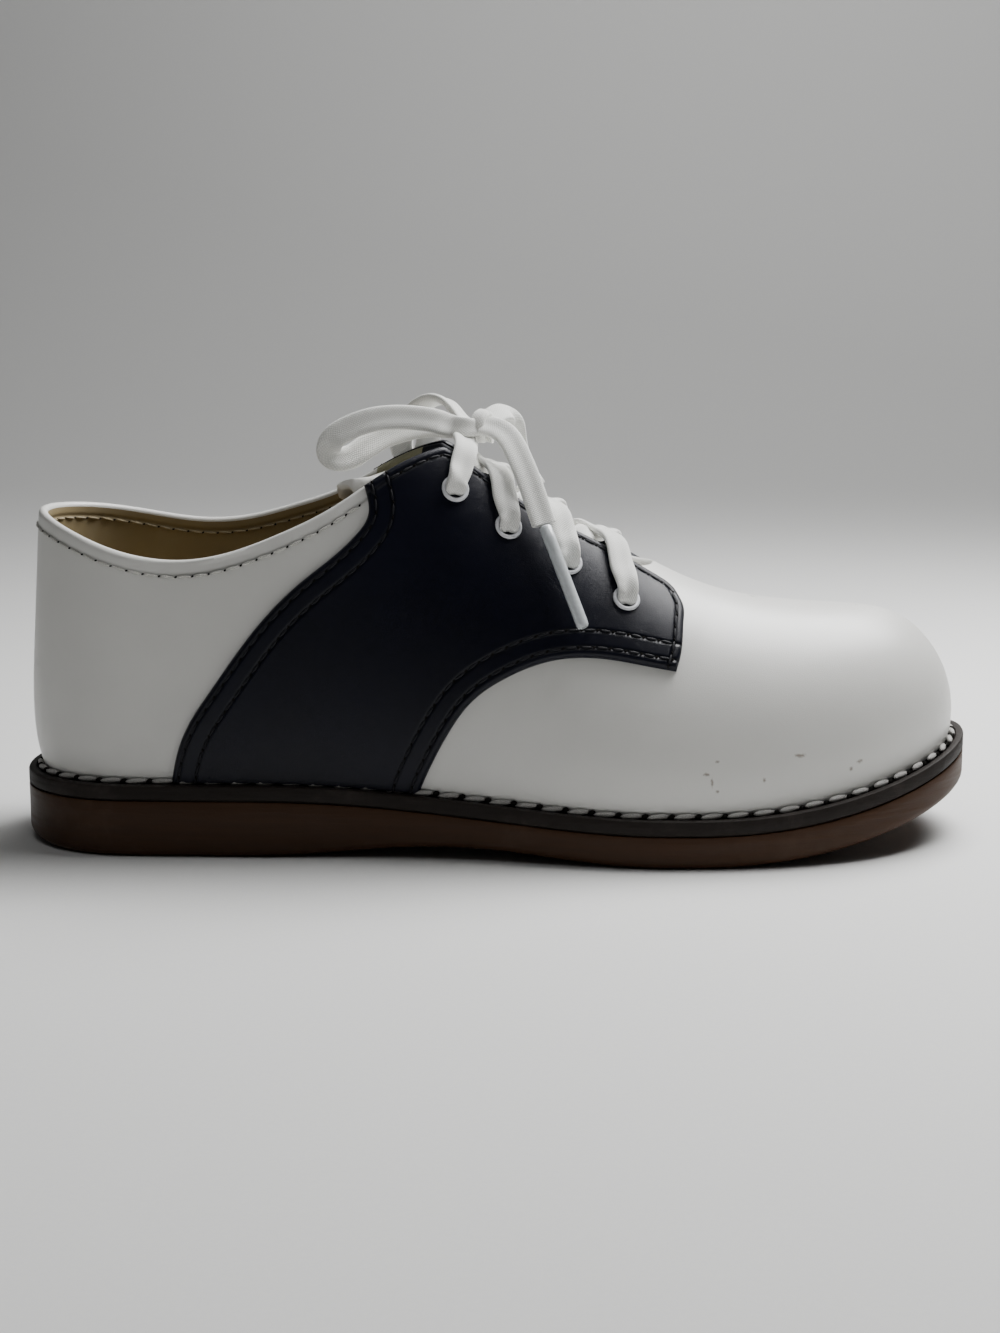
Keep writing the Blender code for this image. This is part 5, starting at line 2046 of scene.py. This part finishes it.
    def sew_rows(self, base: np.ndarray, facing: np.ndarray, apart: dict[str, np.ndarray]) -> None:
        """Sews the rows along the back, the lower front, the end and the facing.

        Args:
            base: The grid's points.
            facing: The grid's outward directions.
            apart: Distances from each edge, by name.
        """
        plan = [("from_back", inset, True) for inset in Seams.BACK]
        plan += [("from_front", inset, True) for inset in Seams.FRONT]
        plan += [("from_end", Seams.END, False), ("from_top", Seams.TOP, False)]
        rows = []
        for name, inset, along_rows in plan:
            line, way = self.contour(base, facing, apart[name], inset, along_rows)
            others = [distance for key, distance in apart.items() if key != name]
            keep = self.clear_of(base, others, line, self.others_room)
            if name == "from_front":
                keep &= self.clear_of(base, [apart["from_end"]], line, Seams.END + self.front_room)
            if name == "from_top":
                keep &= self.clear_of(base, [apart["from_back"]], line, Seams.BACK[1] + self.back_room)
                keep &= self.clear_of(base, [apart["from_end"]], line, Seams.END + self.end_room)
            line, way = line[keep], way[keep]
            if len(line) > 3:
                rows.append((line + way * (self.height + STITCH_LIFT), way))
        label = f"saddle_stitches_{self.side.name.lower()}"
        sizes = {"Pitch": 0.0033, "Length": 0.0026, "Width": 0.00058, "Height": 0.00050}
        self.stitching.sew(label, rows, NAVY_THREAD, "navy_leather", sizes)

    @staticmethod
    def clear_of(base: np.ndarray, fields: list[np.ndarray], line: np.ndarray, room: float) -> np.ndarray:
        """Which points of a line are at least some room from the other edges.

        Args:
            base: The grid's points.
            fields: Distances from the other edges.
            line: The line's points.
            room: The least distance.

        Returns:
            True for each point that is clear.
        """
        flat = base.reshape(-1, 3)
        least = np.minimum.reduce(fields).reshape(-1)
        nearest = [int(np.argmin(((flat - point) ** 2).sum(axis=1))) for point in line]
        return least[nearest] >= room


@dataclass
class Tongue:
    """The white tongue under the laces."""

    wardrobe: Wardrobe
    wall: float = 0.0018
    room: float = 0.0016
    side_round: float = 0.06
    end_round: float = 0.006
    lined_from: float = 0.03
    edge_share: float = 0.05
    along_steps: int = 90
    across_steps: int = 49

    def build(self) -> None:
        """Builds the tongue with rounded edges."""
        draft = Draft("leather_tongue")
        along = np.linspace(TONGUE_LINE[0].along, TONGUE_LINE[-1].along, self.along_steps)
        across = np.linspace(-1, 1, self.across_steps)
        outer = LAST.tongue(along[:, None], across, 0.0, self.room)
        inner = LAST.tongue(along[:, None], across, self.wall, self.room)
        middle = (outer + inner) / 2
        reach_side = np.clip((1 - np.abs(across)) / self.side_round, 0, 1)[None, :]
        reach_end = np.clip((along - along[0]) / self.end_round, 0, 1)[:, None]
        body = np.sqrt(1 - (1 - np.minimum(reach_side, reach_end)) ** 2)[..., None]
        body = np.maximum(body, self.edge_share)
        outer = middle + (outer - middle) * body
        inner = middle + (inner - middle) * body
        draft.grid(outer)
        under = np.where(along[:-1] < along[0] + self.lined_from, 0, 1)[:, None]
        draft.grid(inner, np.broadcast_to(under, (len(along) - 1, len(across) - 1)))
        for edge in (np.s_[0], np.s_[-1], np.s_[:, 0], np.s_[:, -1]):
            draft.grid(np.stack([outer[edge], inner[edge]]))
        finishes = [self.wardrobe.get(TONGUE_LEATHER_PAINTED_LIGHT), self.wardrobe.get(LINING_LEATHER)]
        settle(draft.build(finishes, 60.0), "white_leather", "tongue")


@dataclass
class Eyelets:
    """The eight white eyelets, made by one Geometry Nodes tree on marks."""

    wardrobe: Wardrobe
    saddle_height: float = 0.0015
    ring_radius: float = 0.00262
    ring_lift: float = 0.00025

    @staticmethod
    def _tree() -> Any:
        """A rolled ring and its barrel on each mark.

        Returns:
            The tree.
        """
        sizes = (("Ring Radius", 0.00262), ("Roll Radius", 0.00043), ("Barrel Radius", 0.0022))
        sizes += (("Barrel Wall", 0.00025), ("Barrel Depth", 0.0032))
        tree, desk, given, put = geometry_tree("rolled_eyelet", sizes)
        size = given.outputs

        def circle(radius: Any, points: int) -> Any:
            """A circle in the eyelet's plane."""
            inputs = {"Resolution": points, "Radius": radius}
            return desk.add("GeometryNodeCurvePrimitiveCircle", inputs).outputs["Curve"]

        def swept(curve: Any, profile: Any) -> Any:
            """A profile swept along a curve."""
            inputs = {"Curve": curve, "Profile Curve": profile}
            return desk.add("GeometryNodeCurveToMesh", inputs).outputs["Mesh"]

        ring = swept(circle(size["Ring Radius"], points=40), circle(size["Roll Radius"], points=12))
        inputs = {"Width": size["Barrel Wall"], "Height": size["Barrel Depth"]}
        profile = desk.add("GeometryNodeCurvePrimitiveQuadrilateral", inputs).outputs["Curve"]
        barrel = swept(circle(size["Barrel Radius"], points=32), profile)
        drop = desk.combined(Z=desk.math("MULTIPLY", size["Barrel Depth"], -0.5))
        lowered = desk.add("GeometryNodeTransform", {"Geometry": barrel, "Translation": drop})
        join = desk.add("GeometryNodeJoinGeometry")
        for geometry in (ring, lowered.outputs["Geometry"]):
            desk.feed(join, {0: geometry})
        soft = desk.add("GeometryNodeSetShadeSmooth", {"Geometry": join.outputs["Geometry"]})
        points = desk.add("GeometryNodeMeshToPoints", {"Mesh": size["Geometry"]}).outputs["Points"]
        facing = desk.add("FunctionNodeAlignRotationToVector", {"Vector": desk.lie()}, axis="Z")
        placed = desk.copies(points, soft.outputs["Geometry"], facing.outputs["Rotation"])
        desk.feed(put, {"Geometry": desk.dressed(placed, size["Finish"])})
        return tree

    def build(self) -> None:
        """Builds all the eyelets as one piece."""
        marks, ways, nodes = [], [], []
        for side in Side:
            for number, eyelet in enumerate(EYELETS, 1):
                centre, way, _ = LAST.eyelet(eyelet, side)
                marks.append(centre + way * (self.saddle_height + self.ring_lift))
                ways.append(way)
                nodes.append(f"eyelet_{side.name.lower()}_{number}")
        guide = guide_object("eyelets", np.array(marks), [], np.array(ways))
        finishes = {"Finish": self.wardrobe.get(ENAMEL)}
        piece = bake_nodes(guide, self._tree(), {"Ring Radius": self.ring_radius}, finishes)
        settle(piece, "eyelet_paint", *nodes)


@dataclass
class Ribbon:
    """A flat woven lace along a route."""

    points: Sequence[Any]
    faces: Sequence[Any]
    width: float = 0.0055
    thickness: float = 0.0019
    widths: Sequence[tuple[float, float]] = ((0.0, 1.0), (1.0, 1.0))
    step: float = 0.0004
    cup: float = 0.08
    crease: float = 0.22
    crease_width: float = 0.16
    squareness: float = 0.75
    sides: int = 32
    back_shift: float = 0.0003

    def line(self) -> np.ndarray:
        """The lace's middle line, in even steps."""
        run = run_length(np.array(self.points, float))[-1]
        return smooth_route(self.points, np.linspace(0, 1, max(int(run / self.step), 8) + 1))

    def add_to(self, draft: Draft) -> np.ndarray:
        """Adds the lace to a draft.

        Args:
            draft: The mesh in the making.

        Returns:
            The lace's middle line.
        """
        line = self.line()
        run = run_length(line)
        share = run / run[-1]
        tangent = unit(np.gradient(line, axis=0))
        given = np.array(self.faces, float)
        at = np.linspace(0, 1, len(given))
        face = np.stack([np.interp(share, at, given[:, k]) for k in range(3)], axis=-1)
        wide = unit(np.cross(tangent, face))
        thick = np.cross(wide, tangent)
        spots, scales = zip(*self.widths)
        scale = np.interp(share, spots, scales)[:, None]
        turn = np.linspace(0, 2 * math.pi, self.sides + 1)
        across = np.sign(np.cos(turn)) * np.abs(np.cos(turn)) ** self.squareness * self.width / 2
        up = np.sign(np.sin(turn)) * np.abs(np.sin(turn)) ** self.squareness * self.thickness / 2
        up *= 1 - self.crease * np.exp(-((across / (self.crease_width * self.width)) ** 2))
        dish = self.cup * self.thickness * (2 * (2 * across / self.width) ** 2 - 1)
        bunch = self.thickness * 0.5 * (1 - scale)
        rings = line[:, None] + wide[:, None] * (across * scale)[..., None]
        rings = rings + thick[:, None] * ((up + dish)[None] + bunch * np.sign(up)[None])[..., None]
        over = across + (up < 0) * self.back_shift
        uv = np.stack(np.broadcast_arrays(run[:, None], over[None]), axis=-1)
        draft.grid(rings, 0, None, uv)
        draft.lid(rings[0, :-1])
        draft.lid(rings[-1, :-1])
        return line


@dataclass
class Laces:
    """The laces between the facings, the knot, the bow's loops, the free ends and their tips."""

    wardrobe: Wardrobe
    lie: float = 0.0027
    width: float = 0.0055
    tuck_depth: float = 0.0008
    over_other: float = 0.0012
    riser_edge: float = 0.459
    riser_inset: float = 0.0028
    riser_drop: float = 0.0015
    wrap_radii: tuple[float, float] = (0.0030, 0.0033)
    wrap_centre: Vector3 = (0.0012, -0.0004, 0.0009)
    knot_axis: Vector3 = (0.93, -0.33, -0.12)
    core_reach: float = 0.0042
    core_middle: float = 0.001
    wrap_steps: int = 15
    riser_lean: float = 0.3
    through_eyelet: tuple[tuple[float, float], ...] = ((-0.0014, -0.0006), (0.0011, -0.0005))
    above_eyelet: tuple[float, float] = (0.0001, 0.0008)
    leave_at: float = 0.2
    tuck_at: float = 0.75
    tuck_turn: float = 0.03
    tuck_step: tuple[float, float] = (0.0019, -0.0008)
    bar_steps: int = 7
    bar_reach: float = 0.62
    bar_lift: float = 0.0010
    tip_sides: int = 24

    def over_facing(self, eyelet: Eyelet, edge_along: float, side: Side) -> tuple[list, list]:
        """A lace from inside its eyelet up over the facing to its edge.

        Args:
            eyelet: The eyelet that it comes out of.
            edge_along: Where it crosses the facing's edge.
            side: The facing's side.

        Returns:
            The route's points and the way that its flat side faces at each.
        """
        centre, way, up = LAST.eyelet(eyelet, side)
        start = LAST.angle_at_height(eyelet.along, side, eyelet.height * LAST.instep_height)
        edge = float(LAST.edge_angle(edge_along, side))
        points = [centre + way * out + up * above for out, above in self.through_eyelet]
        faces = [-up, unit(way * 0.1 - up)]
        points.append(centre + way * (self.lie + self.above_eyelet[0]) + up * self.above_eyelet[1])
        faces.append(unit(way - up * 0.6))
        for share in (0.5, 0.8, 1.0):
            along = eyelet.along + (edge_along - eyelet.along) * share
            angle = start + (edge - start) * share
            points.append(LAST.point(along, side, angle, self.lie))
            faces.append(LAST.normal(along, side, angle))
        return points, faces

    def strand(self, number: int, side: Side, level: float) -> Ribbon:
        """A lace from one eyelet over the gap and under the other facing, one row up.

        Args:
            number: The number of its eyelet.
            side: The shoe's side.
            level: How far its middle is raised.

        Returns:
            The lace.
        """
        eyelet, above = EYELETS[number], EYELETS[number - 1]
        other = Side(-side.value)
        leave_along, tuck_along = (
            (1 - share) * eyelet.along + share * above.along for share in (self.leave_at, self.tuck_at)
        )
        points, faces = self.over_facing(eyelet, leave_along, side)
        edge = float(LAST.edge_angle(tuck_along, other))
        tuck = LAST.point(tuck_along, other, edge, 0.0)
        middle = (points[-1] + tuck) / 2 + np.array([0, 0, level])
        between = unit(faces[-1] + LAST.normal(tuck_along, other, edge))
        points += [middle, tuck + np.array([0, side.value * self.tuck_step[0], self.tuck_step[1]])]
        depth = LAST.upper_wall + self.tuck_depth
        under = LAST.point(tuck_along, other, edge - self.tuck_turn, -depth)
        points.append(under)
        faces += [between, LAST.normal(tuck_along, other, edge), LAST.normal(tuck_along, other, edge)]
        return Ribbon(points, faces, widths=TO_FACING)

    def build_crossings(self) -> None:
        """The three pairs of crossing laces and the straight bar below them."""
        for number in range(1, len(EYELETS)):
            draft = Draft(f"lace_crossing_{number}")
            for side, level in ((Side.LATERAL, self.over_other), (Side.MEDIAL, 0.0)):
                self.strand(number, side, level).add_to(draft)
            self.settle_lace(draft, f"lace_cross_{number}")
        along = np.full(self.bar_steps, EYELETS[-1].along)
        across = np.linspace(-self.bar_reach, self.bar_reach, self.bar_steps)
        points = LAST.tongue(along, across, -self.bar_lift, Tongue.room)
        up = LAST.eyelet(EYELETS[-1], Side.LATERAL)[1] + LAST.eyelet(EYELETS[-1], Side.MEDIAL)[1]
        draft = Draft("lace_straight_bar")
        Ribbon(points, [unit(up)] * 2).add_to(draft)
        self.settle_lace(draft, "lace_bar")

    def settle_lace(self, draft: Draft, node: str) -> bpy.types.Object:
        """Makes a cotton piece of a draft, in its solid's place."""
        return settle(draft.build([self.wardrobe.get(COTTON)], 70.0), "lace_cotton", node)

    def build_knot(self) -> bpy.types.Object:
        """The knot: a wrapped band round the gathered laces, and the two rising laces.

        Returns:
            The knot.
        """
        draft = Draft("bow_knot")
        centre = np.array(KNOT_CENTRE)
        for side, rise in ((Side.LATERAL, NEAR_RISE), (Side.MEDIAL, FAR_RISE)):
            points, faces = self.over_facing(EYELETS[0], self.riser_edge, side)
            inward = np.array([0, side.value * self.riser_inset, self.riser_drop])
            points += [np.array(point) - inward for point in rise]
            faces += [np.array([0, side.value * self.riser_lean, 1.0])] * 2
            Ribbon(points, faces, widths=TO_KNOT).add_to(draft)
        turn = np.linspace(0, 2 * math.pi, self.wrap_steps)[:, None]
        axis = unit(np.array(self.knot_axis))
        first = unit(np.cross(axis, [0, 0, 1.0]))
        second = np.cross(first, axis)
        middle = centre + np.array(self.wrap_centre)
        wrap = middle + self.wrap_radii[0] * np.cos(turn) * second + self.wrap_radii[1] * np.sin(turn) * first
        Ribbon(wrap, unit(wrap - middle), width=0.0034, thickness=0.0014, cup=-0.15).add_to(draft)
        reaches = (self.core_reach, self.core_middle, -self.core_reach)
        core = [centre + axis * reach for reach in reaches]
        narrow = ((0.0, 0.6), (0.5, 1.0), (1.0, 0.6))
        Ribbon(core, [second, second], width=0.0036, thickness=0.0034, widths=narrow).add_to(draft)
        return self.settle_lace(draft, "lace_knot")

    def build_tip(self, name: str, node: str, ends: tuple[Vector3, Vector3]) -> bpy.types.Object:
        """A lace's plastic tip, with a crimped mouth and a rounded end.

        Args:
            name: The piece's name.
            node: The solid that it replaces.
            ends: The middle of each end.

        Returns:
            The tip.
        """
        start, end = (np.array(point) for point in ends)
        axis = unit(end - start)
        length = float(np.linalg.norm(end - start))
        first = unit(np.cross(axis, [0, 0, 1.0]))
        second = np.cross(axis, first)
        profile = TIP_MOUTH + tuple((radius, length - left) for radius, left in TIP_END)
        turn = np.linspace(0, 2 * math.pi, self.tip_sides + 1)
        spokes = np.cos(turn)[:, None] * first + np.sin(turn)[:, None] * second
        rings = np.stack([start + radius * spokes + far * axis for radius, far in profile])
        draft = Draft(name)
        draft.grid(rings)
        return settle(draft.build([self.wardrobe.get(TIP_PLASTIC)], 50.0), "aglet_plastic", node)

    def build_free(self) -> None:
        """The knot with the bow's loops, the free ends and their tips."""
        carried = [self.build_knot()]
        for lace in FREE_LACES:
            if lace.tip:
                carried = [self.build_tip(*lace.tip)]
            draft = Draft(lace.name)
            line = Ribbon(lace.lead + lace.route, lace.faces, widths=FROM_KNOT).add_to(draft)
            piece = self.settle_lace(draft, lace.node)
            carried = []

    def build(self) -> None:
        """Builds every lace."""
        self.build_free()
        self.build_crossings()


@dataclass(frozen=True)
class Studio:
    """Camera, floor and soft light."""

    camera_place: Vector3 = (-0.00284, -0.4481, 0.1163)
    camera_pitch: float = 80.0
    lens: float = 53.5
    shift_x: float = 0.0105
    floor_bend: float = 0.9
    bend_steps: int = 24
    floor_front: float = -4.0
    floor_half_width: float = 6.0
    wall_height: float = 5.0
    room_strength: float = 0.04

    def build_camera(self) -> None:
        """The camera at the photograph's place and angle."""
        data = bpy.data.cameras.new("camera")
        data.lens = self.lens
        data.shift_x = self.shift_x
        data.clip_start = 0.01
        camera = new_object("camera", data)
        camera.location = self.camera_place
        camera.rotation_euler = (math.radians(self.camera_pitch), 0, 0)
        bpy.context.scene.camera = camera

    def build_floor(self) -> None:
        """A pale floor that sweeps up behind the shoe."""
        bend = self.floor_bend
        turn = np.linspace(0, RIGHT_ANGLE, self.bend_steps + 1)[1:]
        depth = np.concatenate([[self.floor_front, bend], bend + bend * np.sin(turn), [2 * bend]])
        rise = np.concatenate([[0.0, 0.0], bend - bend * np.cos(turn), [self.wall_height]])
        wide = np.array([-self.floor_half_width, self.floor_half_width])
        grid = np.stack(np.broadcast_arrays(wide[:, None], depth[None], rise[None]), axis=-1)
        faces = [(i, i + 1, len(depth) + i + 1, len(depth) + i) for i in range(len(depth) - 1)]
        mesh = bpy.data.meshes.new("floor")
        mesh.from_pydata(grid.reshape(-1, 3).tolist(), [], faces)
        mesh.shade_smooth()
        material = bpy.data.materials.new("pale_floor")
        material.use_nodes = True
        desk = NodeDesk(material.node_tree)
        tone = desk.noise(desk.add("ShaderNodeTexCoord").outputs["Object"], 900.0, 3.0)
        colour = desk.blend(tone, (0.66, 0.66, 0.65, 1.0), (0.70, 0.70, 0.69, 1.0))
        desk.feed(material.node_tree.nodes["Principled BSDF"], {"Base Color": colour, "Roughness": 0.75})
        mesh.materials.append(material)
        new_object("floor", mesh)

    def build_light(self) -> None:
        """The lamps, each turned to what it lights, and a pale room."""
        for lamp in LAMPS:
            data = bpy.data.lights.new(lamp.name, "AREA")
            data.size = lamp.size
            data.energy = lamp.power
            light = new_object(lamp.name, data)
            light.location = lamp.place
            x, y, z = np.array(lamp.aim) - np.array(lamp.place)
            light.rotation_euler = (math.atan2(math.hypot(x, y), -z), 0, math.atan2(y, x) - RIGHT_ANGLE)
        world = bpy.data.worlds.new("room")
        world.use_nodes = True
        back = world.node_tree.nodes["Background"]
        back.inputs["Color"].default_value = (0.83, 0.84, 0.85, 1.0)
        back.inputs["Strength"].default_value = self.room_strength
        bpy.context.scene.world = world

    def build(self) -> None:
        """Builds the stage."""
        self.build_camera()
        self.build_floor()
        self.build_light()


def main() -> None:
    """Dresses the shoe, camera and laces first."""
    logging.basicConfig(level=logging.INFO, format="%(name)s %(message)s")
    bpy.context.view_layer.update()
    Studio().build()
    wardrobe = Wardrobe()
    Laces(wardrobe).build()
    stitching = Stitching(wardrobe)
    Upper(wardrobe, stitching).build()
    for side in Side:
        Saddle(wardrobe, stitching, side).build()
    Tongue(wardrobe).build()
    Eyelets(wardrobe).build()
    SoleUnit(wardrobe, stitching).build()


if __name__ == "__main__":
    main()
